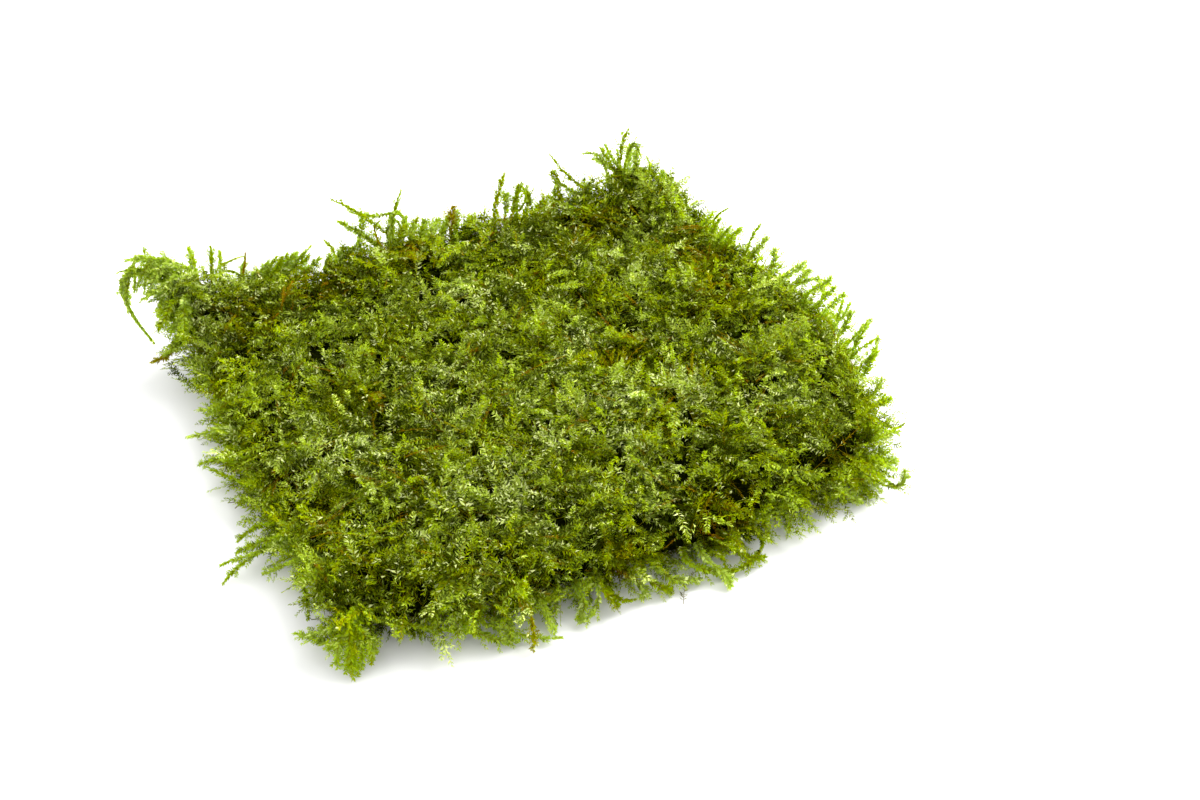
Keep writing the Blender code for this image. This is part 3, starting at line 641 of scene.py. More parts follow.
class Growth:
    """Stems and leaves gathered as arrays, to be made one mesh."""

    def __init__(self):
        self.places = []
        self.corners = []
        self.tones = []
        self.count = 0

    def add(self, places, corners, tones):
        """corners counts from the first of these places."""
        self.places.append(places.reshape(-1, 3))
        self.corners.append(corners.reshape(-1, 3) + self.count)
        self.tones.append(tones.reshape(-1, 2))
        self.count += len(self.places[-1])

    def mesh(self, name):
        places = np.concatenate(self.places)
        corners = np.concatenate(self.corners)
        tones = np.clip(np.concatenate(self.tones), *TONE_ENDS)
        places[:, 2] = np.maximum(places[:, 2], LEAST_HEIGHT)
        mesh = bpy.data.meshes.new(name)
        mesh.from_pydata(places, [], corners)
        layer = mesh.uv_layers.new(name=TONE_MAP)
        layer.uv.foreach_set("vector", tones[corners.ravel()].astype(np.float32).ravel())
        return mesh


def arcs(routes, shares):
    """Places and directions along quadratic arcs. routes is (n, 3, 3), shares is (n, m)."""
    t = shares[..., None]
    root, bend, tip = (routes[:, None, index] for index in range(3))
    places = root * (1 - t) ** 2 + bend * 2 * t * (1 - t) + tip * t**2
    return places, unit((bend - root) * (1 - t) + (tip - bend) * t)


def grow_stems(growth, fronds, habit):
    """Three-sided tapering stems, closed at both ends."""
    count, steps = len(fronds.routes), habit.steps
    shares = np.broadcast_to(np.linspace(0, 1, steps + 1), (count, steps + 1))
    places, along = arcs(fronds.routes, shares)
    side = unit(np.cross(along, fronds.faces[:, None]))
    above = np.cross(side, along)
    radius = (habit.girth * between(1.0, STEM_TAPER, shares))[..., None, None]
    turns = np.arange(3) * math.tau / 3
    spokes = side[:, :, None] * np.cos(turns)[:, None] + above[:, :, None] * np.sin(turns)[:, None]
    rings = places[:, :, None] + spokes * radius
    corners = []
    for step in range(steps):
        for spoke in range(3):
            a, b = step * 3 + spoke, step * 3 + (spoke + 1) % 3
            corners += [(a, b, b + 3), (a, b + 3, a + 3)]
    last = steps * 3
    corners += [(2, 1, 0), (last, last + 1, last + 2)]
    starts = np.arange(count)[:, None, None] * (last + 3)
    tones = fronds.tones * (STEM_AGE, habit.stem_tint)
    tone = np.broadcast_to(tones[:, None, None], (count, steps + 1, 3, 2)).copy()
    tone[..., 0] += (shares * STEM_TIP_YOUTH)[..., None]
    tone += np.array(((0, -1), (0, 1), (1, 0)))[None, None] * TONE_WIDTH
    growth.add(rings, np.array(corners)[None] + starts, tone)


def leaf_tones(tones, shares, glint, dice):
    """Age and tint of each leaf of fronds with these tones. shares are the leaves' places on the stem."""
    age = tones[:, :1] + between(*LEAF_AGES, shares) + dice.normal(0, LEAF_AGE_SPREAD, shares.shape)
    tint = tones[:, 1:] + dice.normal(0, LEAF_TINT_SPREAD, shares.shape)
    # painted glints: pale leaves that stand for highlights take a tint and an age of their own
    glint_tint = GLINT_TINT[0] + dice.normal(0, GLINT_TINT[1], shares.shape)
    tint = np.where(glint, glint_tint, np.minimum(tint, GREEN_LIMIT))
    age = np.where(glint, np.maximum(age, GLINT_AGE), age)
    return np.stack((age, tint), axis=-1)


def grow_leaves(growth, fronds, habit, dice):
    """Two rows of leaves along each stem: flat ones of one triangle, or folded ones of two."""
    count = len(fronds.routes)
    leaves = habit.pairs * 2
    order = np.arange(leaves)
    shares = (order + dice.uniform(0, LEAF_SHIFT, (count, leaves))) / leaves
    on_stem = np.minimum(between(habit.bare, 1, shares), LAST_LEAF)
    foot, along = arcs(fronds.routes, on_stem)
    side = unit(np.cross(along, fronds.faces[:, None]))
    above = np.cross(side, along)
    turn = (np.pi * (order % 2) + dice.normal(0, habit.scatter, (count, leaves)))[..., None]
    outward = side * np.cos(turn) + above * np.sin(turn)
    angle = between(habit.low_angle, habit.tip_angle, shares)
    angle += dice.normal(0, LEAF_ANGLE_SPREAD, shares.shape)
    way = along * np.cos(angle)[..., None] + outward * np.sin(angle)[..., None]
    across = unit(np.cross(way, above + dice.normal(0, LEAF_TWIST, way.shape)))
    upper = np.cross(across, way)
    # a share of the leaves are painted glints, pale and a little larger
    glint_share = np.clip((fronds.tones[:, 1:] - GLINT_START) * GLINT_GAIN, *GLINT_SHARES)
    glint = dice.uniform(0, 1, shares.shape) < glint_share
    size = between(1.0, TIP_LEAF, shares**3) * dice.uniform(*LEAF_SIZES, shares.shape)
    length = (habit.length * size * np.where(glint, GLINT_SIZE[0], 1))[..., None]
    half = (habit.width / 2 * size * np.where(glint, GLINT_SIZE[1], 1))[..., None]
    curl = dice.normal(*LEAF_CURL, shares.shape)[..., None]
    tip = foot + way * length + upper * length * curl
    broad = foot + way * length * BROAD_PLACE
    if habit.folded:
        broad = broad + upper * half * FOLD
        places = (foot, broad + across * half, tip, broad - across * half)
        faces, spread = FOLDED_LEAF
    else:
        places = (foot, broad + across * half * 2 * HALF_LEAF_SIDE[order % 4][:, None], tip)
        faces, spread = FLAT_LEAF
    starts = np.arange(count * leaves)[:, None, None] * len(places)
    tone = leaf_tones(fronds.tones, shares, glint, dice)[:, :, None] + spread
    growth.add(np.stack(places, axis=2), faces[None] + starts, tone)


def grow_fronds(growth, fronds, habit, dice):
    grow_stems(growth, fronds, habit)
    grow_leaves(growth, fronds, habit, dice)


def grow_branches(growth, fronds, length, places, dice):
    """Side branches on both sides of each stem, in the plane of its flat side."""
    count = len(fronds.routes)
    for side_sign, low, high in places:
        shares = dice.uniform(low, high, (count, 1))
        foot, along = (found[:, 0] for found in arcs(fronds.routes, shares))
        side = unit(np.cross(along, fronds.faces)) * side_sign
        angle = dice.normal(*BRANCH_ANGLE, (count, 1))
        way = along * np.cos(angle) + side * np.sin(angle)
        size = between(LOWEST_BRANCH, HIGHEST_BRANCH, shares)
        reach = length * size * dice.uniform(*BRANCH_SIZES, (count, 1))
        tip = foot + way * reach + along * reach * BRANCH_TURN
        routes = np.stack((foot, foot + way * reach / 2, tip), axis=1)
        grow_fronds(growth, Fronds(routes, fronds.faces, fronds.tones), BRANCH, dice)


def merged_mat():
    """The mat's solid as one closed bmesh."""
    bm = bmesh.new()
    bm.from_mesh(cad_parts[MAT].data)
    bmesh.ops.remove_doubles(bm, verts=bm.verts, dist=WELD)
    return bm


def tuft_tips(bm):
    """The tip of each tuft of the solid, and the way it points."""
    tips, ways = [], []
    for vert in bm.verts:
        ring = [edge.other_vert(vert).co for edge in vert.link_edges]
        way = vert.co - sum(ring, Vector()) / len(ring)
        if way.length < LEAST_TUFT or way.dot(vert.normal) < 0:
            continue
        way.normalize()
        if all((vert.co - place).dot(way) > TIP_LEAD for place in ring):
            tips.append(vert.co[:])
            ways.append(way[:])
    return np.array(tips), np.array(ways)


def lies_flat(face):
    return face.normal.z < UNDERSIDE_NORMAL and face.calc_center_median().z < UNDERSIDE_TOP


def scatter(solid, count, dice, on_floor=False):
    """Random places on the solid's underside, or else on all the rest of it, evenly by area."""
    faces = [face for face in solid.faces if lies_flat(face) == on_floor]
    corners = np.array([[vert.co[:] for vert in face.verts[:3]] for face in faces])
    areas = np.array([face.calc_area() for face in faces])
    chosen = corners[dice.choice(len(faces), count, p=areas / areas.sum())]
    first, second = dice.uniform(0, 1, (2, count, 1))
    folded = first + second > 1
    first, second = np.where(folded, 1 - first, first), np.where(folded, 1 - second, second)
    return chosen[:, 0] + (chosen[:, 1] - chosen[:, 0]) * first + (chosen[:, 2] - chosen[:, 0]) * second


def outward_at(places, core):
    """The way out of the mat at each place, away from the nearest point of its core."""
    ways = []
    for place in places:
        nearest, normal, _, distance = core.find_nearest(Vector(place))
        way = Vector(place) - nearest
        ways.append((way.normalized() if distance > NEAR_CORE else normal)[:])
    return np.array(ways)


def feet_near(roots, dice):
    """The common foot nearest to each root. One root in some stands for the foot of its tuft."""
    feet = roots[dice.choice(len(roots), len(roots) // FRONDS_IN_TUFT, replace=False)]
    tree = KDTree(len(feet))
    for index, foot in enumerate(feet):
        tree.insert(foot, index)
    tree.balance()
    return np.array([tree.find(root)[0][:] for root in roots])


def side_on(faces, routes):
    """The flat sides turned square to their stems."""
    straight = unit(routes[:, 2] - routes[:, 0])
    return unit(faces - straight * dot(faces, straight))


def arc_between(roots, rise, tips):
    """Routes from the roots, which are kept over the floor, to the tips. Their bends are raised by rise."""
    roots[:, 2] = np.maximum(roots[:, 2], LOWEST_ROOT)
    return np.stack((roots, (roots + tips) / 2 + rise, tips), axis=1)


def frond_routes(tips, outward, length, sizes, dice):
    """Arcs that rise out of the mat and lean over along its surface, and the way their flat sides look."""
    lean = drift(tips, sizes.drift, LEAN_SEED) * LEAN_TOGETHER + dice.normal(0, LEAN_CHANCE, tips.shape)
    lean -= outward * dot(lean, outward)
    steep = 1 - np.maximum(outward[:, 2:3], 0)
    wall = edge_share(outward)
    way = outward * (sizes.rise + WALL_RISE * wall) + unit(lean) * sizes.lean * (1 - WALL_LEAN * wall)
    way = unit(way + UP * WALL_UPWARD * steep)
    roots = tips - way * length
    roots = between(roots, feet_near(roots, dice), sizes.gather)
    routes = arc_between(roots, (outward * ARCH_OUT + UP * ARCH_UP) * length * ARCH, tips)
    return routes, side_on(outward + UP * FACE_UP + dice.normal(0, FACE_CHANCE, tips.shape), routes)


def shoot_tone(tip, age, dice):
    """Age and tint of a single shoot whose tip is at this place, in mm."""
    places = np.array((tip,)) * MM
    young, brown = near(places, YOUNG_LIT_PATCHES)[0], near(places, BROWN_PATCHES)[0]
    # young growth and painted light: shoots are brighter in the young, lit patches
    age += SHOOT_BRIGHTENING * young + dice.uniform(-SHOOT_AGE_CHANCE, SHOOT_AGE_CHANCE)
    return [age, dice.normal(*SHOOT_TINT) - SHOOT_BROWNING * brown * dice.uniform(0, 1)]


def tones_at(places, dice):
    """Age and tint of the frond whose tip lies at each place."""
    count = len(places)
    wide = drift(places, WIDE_PATCH, WIDE_SEED)
    fine = drift(places, FINE_PATCH, FINE_SEED)
    age = AGE + AGE_WIDE * wide[:, 0] + AGE_FINE * fine[:, 0] + dice.normal(0, AGE_SPREAD, count)
    # young growth and painted light in the young, lit patches; old growth and painted shade in the old,
    # shaded ones
    age += PATCH_BRIGHTENING * near(places, YOUNG_LIT_PATCHES) - PATCH_DARKENING * near(places, SHADED_OLD_PATCHES)
    tint = TINT + TINT_WIDE * wide[:, 1] + TINT_FINE * fine[:, 1] + dice.normal(0, TINT_SPREAD, count)
    # painted glints: some fronds, and many in the glint patches, get pale tints
    glinting = dice.uniform(0, 1, count) < GLINTING_SHARE + GLINTING_PATCH * near(places, GLINT_PATCHES)
    brown = near(places, BROWN_PATCHES) * dice.uniform(0, 1, count)
    tint += glinting * dice.uniform(*GLINT_TINT_GAIN, count) - brown**2 * BROWNING
    return np.stack((age, tint), axis=1)


def in_hollow(fronds):
    """How far each frond's outer half reaches into a hollow: 1 at its middle, fading outwards."""
    found = np.zeros(len(fronds.routes))
    for *middle, reach in HOLLOWS:
        away = np.linalg.norm(fronds.routes[:, 1:] / MM - middle, axis=2).min(axis=1) / reach
        found = np.maximum(found, np.exp(-away**2))
    return found


def cover_fronds(solid, core, sizes, dice):
    """The fronds whose tips make the mat's surface, and the way out of the mat at each tip."""
    places = scatter(solid, int(sizes.fronds * PLACES_TRIED), dice)
    small_gaps = (drift(places, SMALL_GAP, GAP_SEED)[:, 0] - SMALL_GAP_START) * SMALL_GAP_GAIN
    thin = GAP_BARENESS * near(places, GAPS) + np.clip(small_gaps, 0, sizes.gaps)
    places = places[dice.uniform(0, 1, len(places)) > thin][: sizes.fronds]
    outward = outward_at(places, core)
    edge = edge_share(outward)
    sunk = dice.uniform(0, 1, edge.shape) ** 3 * DEEPEST_TIP
    tufted = np.clip(EDGE_OUT + EDGE_OUT_GAIN * drift(places, EDGE_TUFT, TUFT_SEED)[:, :1], 0, 1)
    tufted *= dice.uniform(EDGE_OUT_LEAST, 1, edge.shape)
    places = places + outward * (edge * sizes.edge_reach * tufted - sunk)
    tones = tones_at(places, dice)
    edge, sunk = edge[:, 0], sunk[:, 0]
    # painted light: fronds at the edges are brighter, for the glowing rim; fronds whose tips lie deep are
    # darker
    tones[:, 0] = np.maximum(tones[:, 0] + edge * EDGE_BRIGHTENING, edge * EDGE_LEAST_BRIGHTNESS) - sunk / MM * DEPTH_DARKENING
    length = sizes.frond_length + dice.normal(0, 1, (len(places), 1)) * sizes.length_spread
    routes, faces = frond_routes(places, outward, np.maximum(length, SHORTEST_FROND), sizes, dice)
    fronds = Fronds(routes, faces, tones)
    hollow = in_hollow(fronds)
    # painted shade: fronds in and near a hollow are darker and browner
    tones -= hollow[:, None] * HOLLOW_SHADE
    kept = dice.uniform(0, 1, len(places)) > hollow / HOLLOW_FROND
    return pick(fronds, kept), outward[kept]


def leading_fronds(solid, core, sizes, dice):
    """A frond to each tuft's tip, and at the edges a little beyond it."""
    tips, ways = tuft_tips(solid)
    outward = outward_at(tips, core)
    edge = edge_share(outward)
    roots = tips - ways * LEADER_LENGTH
    tips = tips + ways * edge * sizes.edge_reach * dice.uniform(0, LEADER_REACH, edge.shape)
    routes = arc_between(roots, UP * LEADER_ARCH, tips)
    faces = side_on(UP + dice.normal(0, LEADER_FACE_CHANCE, tips.shape), routes)
    tones = tones_at(tips, dice)
    # partly painted light: fronds at the edges are kept bright, for the glowing rim
    tones[:, 0] = np.maximum(tones[:, 0], edge[:, 0] * EDGE_LEAST_BRIGHTNESS)
    fronds = Fronds(routes, faces, tones)
    kept = in_hollow(fronds) < HOLLOW_LEADER
    return pick(fronds, kept), outward[kept]


def edge_share(outward):
    """1 where the mat's surface is a wall, 0 where it is its top."""
    return np.clip((TOP_END - outward[:, 2:]) / (TOP_END - WALL_FULL), 0, 1)


def zones(outward, places):
    """The name of the piece that each frond belongs to."""
    across = np.where(places[:, 0] < 0, "left", "right")
    top = np.char.add(np.where(places[:, 1] < 0, "top_fronds_front_", "top_fronds_back_"), across)
    side = np.where(
        np.abs(outward[:, 0]) > np.abs(outward[:, 1]),
        np.where(outward[:, 0] > 0, "right", "left"),
        np.where(outward[:, 1] > 0, "back", "front"),
    )
    return np.where(outward[:, 2] > TOP_PIECE, top, np.char.add("edge_fronds_", side))


def surface_sprays(solid, core, sizes, dice):
    """Long shoots that lie over the others and point outwards near the mat's edges."""
    places = scatter(solid, sizes.sprays, dice)
    outward = outward_at(places, core)
    rim = np.abs(places[:, :2] / RIM).max(axis=1, keepdims=True) ** 3
    way = unit(drift(places, sizes.drift, LEAN_SEED)) * (SPRAY_DRIFT - rim)
    way += unit(places * (1, 1, 0)) * SPRAY_OUTWARD * rim
    way -= outward * dot(way, outward)
    way = unit(unit(way) + outward * SPRAY_RISE + UP * SPRAY_RIM_RISE * rim)
    reach = dice.uniform(*SPRAY_REACHES, rim.shape) * MM
    tips = places + (outward * SPRAY_OVER + way * edge_share(outward)) * reach
    roots = tips - way * dice.uniform(*SPRAY_LENGTHS, rim.shape)
    routes = arc_between(roots, outward * dice.uniform(*SPRAY_ARCHES, rim.shape), tips)
    tones = tones_at(tips, dice) + SPRAY_TONE
    looks = outward + UP * SPRAY_FACE_UP + dice.normal(0, SPRAY_FACE_CHANCE, tips.shape)
    faces = side_on(looks, routes)
    fronds = Fronds(routes, faces, tones)
    return pick(fronds, in_hollow(fronds) < HOLLOW_SPRAY)


def brown_stems(solid, core, sizes, dice):
    """Old stems that stand between the fronds, most of them in the brown patches."""
    places = scatter(solid, sizes.brown_stems * PLACES_TRIED_BROWN, dice)
    likely = BROWN_ELSEWHERE + near(places, BROWN_PATCHES) ** 2
    places = places[dice.uniform(0, 1, len(places)) < likely][: sizes.brown_stems]
    count = len(places)
    outward = outward_at(places, core)
    places = places + outward * dice.uniform(*BROWN_DEPTHS, (count, 1)) * MM
    length = dice.uniform(*BROWN_LENGTHS, (count, 1)) * MM
    routes, faces = frond_routes(places, outward, length, sizes, dice)
    tones = (dice.uniform(*BROWN_AGES, count), dice.uniform(*BROWN_STEM_TINTS, count))
    return Fronds(routes, faces, np.stack(tones, axis=1))


def underside_fronds(solid, sizes, dice):
    """Old fronds pressed flat under the mat, their tips towards its edges."""
    tips = scatter(solid, sizes.underside_fronds, dice, on_floor=True)
    count = len(tips)
    tips[:, 2] = dice.uniform(*UNDER_HEIGHTS, count) * MM
    way = unit(tips * (1, 1, 0)) + dice.normal(0, UNDER_TURN, tips.shape)
    way = unit(way * (1, 1, 0))
    length = dice.uniform(*UNDER_LENGTHS, (count, 1)) * MM
    roots = tips - way * length + UP * UNDER_RISE
    aside = np.cross(way, UP) * length * dice.normal(0, UNDER_BEND, length.shape)
    routes = arc_between(roots, aside, tips)
    tones = (dice.uniform(*UNDER_AGES, count), dice.normal(*UNDER_TINT, count))
    faces = side_on(-UP + dice.normal(0, UNDER_FACE_CHANCE, tips.shape), routes)
    return Fronds(routes, faces, np.stack(tones, axis=1))


def grow_shoot(growth, points, kind, tone, core, dice):
    """A single shoot, led back from its root to the core. points are its root, bend and tip in mm."""
    route = np.array(points) * MM
    foot = np.array(core.find_nearest(Vector(route[0]))[0])
    start = unit(route[1] - route[0])
    knee = route[0] - start * np.linalg.norm(route[0] - foot) / 2
    for stretch in ((foot, knee, route[0]), route):
        routes = np.array(stretch)[None]
        length = np.linalg.norm(np.diff(routes[0], axis=0), axis=1).sum()
        faces = side_on(SHOOT_FACE + dice.normal(0, SHOOT_FACE_CHANCE, (1, 3)), routes)
        fronds = Fronds(routes, faces, np.array((tone,)))
        pairs = max(FEWEST_PAIRS, round(length / PAIR_STEP))
        grow_fronds(growth, fronds, KINDS[kind]._replace(pairs=pairs), dice)
    if kind == "leafy" or (kind == "slim" and length > FULL_SHOOT):
        grow_branches(growth, fronds, SHOOT_BRANCH, SHOOT_BRANCH_PLACES, dice)


def add_piece(mesh, name, material, nodes):
    """Makes the mesh a piece of the model that stands for these solids."""
    piece = bpy.data.objects.new(name, mesh)
    bpy.context.scene.collection.objects.link(piece)
    mesh.materials.append(material)
    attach(piece, "root")
    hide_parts(*nodes)
    return piece


def smooth(bm, rounds):
    for _ in range(rounds):
        bmesh.ops.smooth_vert(
            bm, verts=bm.verts, factor=0.5, use_axis_x=True, use_axis_y=True, use_axis_z=True
        )
    bm.normal_update()


def core_of_mat(sizes):
    """The matted old growth under the fronds: the mat's solid, smoothed, sunk and lumpy."""
    solid = merged_mat()
    smooth(solid, TUFT_SMOOTHINGS)
    mesh = bpy.data.meshes.new("mat_form")
    solid.to_mesh(mesh)
    solid.free()
    form = bpy.data.objects.new("mat_form", mesh)
    bpy.context.scene.collection.objects.link(form)
    remesh = form.modifiers.new("remesh", "REMESH")
    remesh.mode = "VOXEL"
    remesh.voxel_size = CORE_VOXEL
    evaluated = form.evaluated_get(bpy.context.evaluated_depsgraph_get())
    bm = bmesh.new()
    bm.from_mesh(evaluated.data)
    bpy.data.objects.remove(form)
    smooth(bm, CORE_SMOOTHINGS)
    for vert in bm.verts:
        lumps = sum(height * noise.noise(vert.co / width) for height, width in CORE_LUMPS)
        depth = sizes.core_depth + lumps
        if vert.normal.z < CORE_UNDERSIDE:
            depth *= CORE_UNDERSIDE_SHARE
        elif vert.normal.z < CORE_WALL:
            depth *= CORE_WALL_SHARE
        vert.co -= vert.normal * depth
        vert.co.z = max(vert.co.z, CORE_ABOVE_FLOOR)
    return bm


def ramp(nodes, stops, label):
    node = nodes.new("ShaderNodeValToRGB")
    node.label = label
    elements = node.color_ramp.elements
    elements[0].position, elements[0].color = stops[0][0], (*stops[0][1], 1)
    elements[1].position, elements[1].color = stops[-1][0], (*stops[-1][1], 1)
    for position, colour in stops[1:-1]:
        elements.new(position).color = (*colour, 1)
    return node


def mix_colours(nodes, links, blend, factor, first, second):
    node = nodes.new("ShaderNodeMix")
    node.data_type = "RGBA"
    node.blend_type = blend
    for socket, value in ((node.inputs[0], factor), (node.inputs[6], first), (node.inputs[7], second)):
        if isinstance(value, bpy.types.NodeSocket):
            links.new(value, socket)
        else:
            socket.default_value = value
    return node.outputs[2]


def component(nodes, links, vector, axis):
    """One component of a vector output."""
    parts = nodes.new("ShaderNodeSeparateXYZ")
    links.new(vector, parts.inputs[0])
    return parts.outputs[axis]


def share_between(nodes, links, value, ends):
    """How far a value is from the first of these ends to the second, as a share."""
    node = nodes.new("ShaderNodeMapRange")
    node.inputs["From Min"].default_value, node.inputs["From Max"].default_value = ends
    links.new(value, node.inputs["Value"])
    return node.outputs[0]


def leaf_material(colours):
    """Thin leaves: tone to colour, with some of the light passing through."""
    if "moss_leaves" in bpy.data.materials:
        return bpy.data.materials["moss_leaves"]
    material = bpy.data.materials.new("moss_leaves")
    material.use_nodes = True
    nodes, links = material.node_tree.nodes, material.node_tree.links
    shader, output = nodes["Principled BSDF"], nodes["Material Output"]
    tone = nodes.new("ShaderNodeUVMap")
    tone.uv_map = TONE_MAP
    shades = []
    for age in ("old", "young"):
        stops = [(place, getattr(colours, f"{age}_{tint}")) for place, tint in TINTS]
        node = ramp(nodes, stops, f"{age} growth by tint")
        links.new(component(nodes, links, tone.outputs["UV"], "Y"), node.inputs[0])
        shades.append(node.outputs[0])
    colour = mix_colours(nodes, links, "MIX", component(nodes, links, tone.outputs["UV"], "X"), *shades)
    links.new(colour, shader.inputs["Base Color"])
    # no specular: the glints are painted into the palest tints instead
    shader.inputs["Specular IOR Level"].default_value = 0.0
    through = nodes.new("ShaderNodeBsdfTranslucent")
    lit = mix_colours(nodes, links, "MULTIPLY", 1.0, colour, THROUGH_LEAF)
    links.new(lit, through.inputs["Color"])
    both = nodes.new("ShaderNodeMixShader")
    both.inputs[0].default_value = THROUGH_SHARE
    links.new(shader.outputs[0], both.inputs[1])
    links.new(through.outputs[0], both.inputs[2])
    links.new(both.outputs[0], output.inputs["Surface"])
    return material


def core_material(colours):
    """Old stems matted together: brown litter low down and underneath, and elsewhere nearly black, which is
    painted shade.
    """
    material = bpy.data.materials.new("old_growth")
    material.use_nodes = True
    nodes, links = material.node_tree.nodes, material.node_tree.links
    shader = nodes["Principled BSDF"]
    place = nodes.new("ShaderNodeTexCoord")
    fibres = nodes.new("ShaderNodeTexNoise")
    for name, value in CORE_FIBRES.items():
        fibres.inputs[name].default_value = value
    links.new(place.outputs["Object"], fibres.inputs["Vector"])
    # painted shade: where the core shows between the fronds, its stems are nearly black
    stems_in_shade = ((0.4, colours.core_shade), (0.75, colours.core_fibre), (0.9, colours.old_stem))
    dry_stems = ((0.35, colours.core_fibre), (0.5, colours.old_stem), (0.7, colours.litter))
    shades = ramp(nodes, stems_in_shade, "old stems")
    litter = ramp(nodes, dry_stems, "litter")
    for node in (shades, litter):
        links.new(fibres.outputs[0], node.inputs[0])
    either = nodes.new("ShaderNodeMath")
    either.operation = "MAXIMUM"
    for socket, (vector, ends) in zip(either.inputs, (("Object", LOW), ("Normal", DOWNWARD))):
        height = component(nodes, links, place.outputs[vector], "Z")
        links.new(share_between(nodes, links, height, ends), socket)
    colour = mix_colours(nodes, links, "MIX", either.outputs[0], shades.outputs[0], litter.outputs[0])
    links.new(colour, shader.inputs["Base Color"])
    shader.inputs["Roughness"].default_value = 0.9
    shader.inputs["Specular IOR Level"].default_value = 0.0
    bump = nodes.new("ShaderNodeBump")
    bump.inputs["Strength"].default_value = 0.8
    bump.inputs["Distance"].default_value = CORE_BUMP
    links.new(fibres.outputs[0], bump.inputs["Height"])
    links.new(bump.outputs[0], shader.inputs["Normal"])
    return material


def length_of(name, description, default):
    return FloatProperty(
        name=name, description=description, default=default, unit="LENGTH", min=0.0, precision=5
    )


def factor_of(name, description, default):
    return FloatProperty(name=name, description=description, default=default, min=0)


def count_of(name, description, default):
    return IntProperty(name=name, description=description, default=default, min=1)


def angle_of(name, description, degrees):
    return FloatProperty(
        name=name, description=description, default=math.radians(degrees), subtype="ANGLE"
    )


def colour_of(name, description, default):
    return FloatVectorProperty(
        name=name, description=description, default=default, subtype="COLOR", min=0, max=1
    )


class MossSizes(PropertyGroup):
    """Sizes of the fronds and of the core that they grow from."""

    core_depth: length_of("Core depth", "How deep the old growth lies under the frond tips", 3.7 * MM)
    frond_length: length_of("Frond length", "Length of a frond from its root to its tip", 8.5 * MM)
    length_spread: length_of("Length spread", "How much longer or shorter single fronds are", 1.8 * MM)
    drift: length_of("Drift", "Width over which fronds lean the same way", 8 * MM)
    edge_reach: length_of("Edge reach", "How far fronds stand out beyond the mat's edges", 3.7 * MM)
    lean: factor_of("Lean", "How much fronds lean along the surface", 1.2)
    rise: factor_of("Rise", "How much fronds stand out of the surface", 0.65)
    gaps: factor_of("Gaps", "How bare the small gaps between the tufts are", 0.85)
    gather: FloatProperty(
        name="Gather", description="How close the fronds of a tuft start together",
        default=0.6, min=0, max=1
    )
    fronds: count_of("Fronds", "Number of fronds on the top and the sides", 15800)
    underside_fronds: count_of("Underside fronds", "Number of flat-lying fronds under the mat", 1000)
    sprays: count_of("Sprays", "Number of long shoots that lie over the others", 420)
    brown_stems: count_of("Brown stems", "Number of brown stems", 850)


class MossColours(PropertyGroup):
    """Colours of old and young growth, by tint."""

    # painted shade: the core's two darkest colours are nearly black and stand for the shade in the gaps
    # between the fronds
    core_shade: colour_of("Core", "The deepest gaps", (0.002, 0.003, 0.0003))
    core_fibre: colour_of("Core fibre", "Matted old stems", (0.010, 0.012, 0.001))
    litter: colour_of("Litter", "Dry brown stems under the mat", (0.160, 0.105, 0.040))
    old_stem: colour_of("Old stem", "Old bare stems", (0.034, 0.018, 0.001))
    old_brown: colour_of("Old brown", "Old brownish leaves", (0.040, 0.036, 0.0003))
    old_green: colour_of("Old green", "Old green leaves", (0.0205, 0.034, 0.0002))
    # painted glints: pale leaves that stand for highlights
    old_glint: colour_of("Old silver", "Old pale leaves", (0.110, 0.140, 0.011))
    young_stem: colour_of("Young stem", "Young bare stems", (0.360, 0.150, 0.006))
    young_brown: colour_of("Young brown", "Young brownish leaves", (0.310, 0.240, 0.002))
    young_green: colour_of("Young green", "Young green leaves", (0.335, 0.445, 0.001))
    # painted glints: the brightest pale leaves, which stand for highlights
    young_glint: colour_of("Young silver", "Young pale leaves", (0.840, 0.860, 0.450))


class MossStage(PropertyGroup):
    """Floor, light and camera."""

    floor: colour_of("Floor", "Colour of the floor", (0.70, 0.70, 0.70))
    surround: factor_of("Surround", "Strength of the light from all round", 1.75)
    key_power: FloatProperty(
        name="Key light", description="Power of the soft light behind", default=15.0, unit="POWER"
    )
    azimuth: angle_of("Azimuth", "Where the camera stands round the clump", -23)
    elevation: angle_of("Elevation", "How high the camera looks down from", 41)
    distance: length_of("Distance", "From the camera to the point that it looks at", 0.325)
    lens: FloatProperty(name="Lens", description="Focal length", default=43.74, unit="CAMERA")


class MOSS_OT_core(Operator):
    """Make the matted old growth that shows between the fronds"""

    bl_idname = "moss.core"
    bl_label = "Old growth"

    def execute(self, context):
        scene = context.scene
        bm = core_of_mat(scene.moss_sizes)
        mesh = bpy.data.meshes.new("old_growth")
        bm.to_mesh(mesh)
        bm.free()
        mesh.shade_smooth()
        add_piece(mesh, "old_growth", core_material(scene.moss_colours), [MAT])
        return {"FINISHED"}


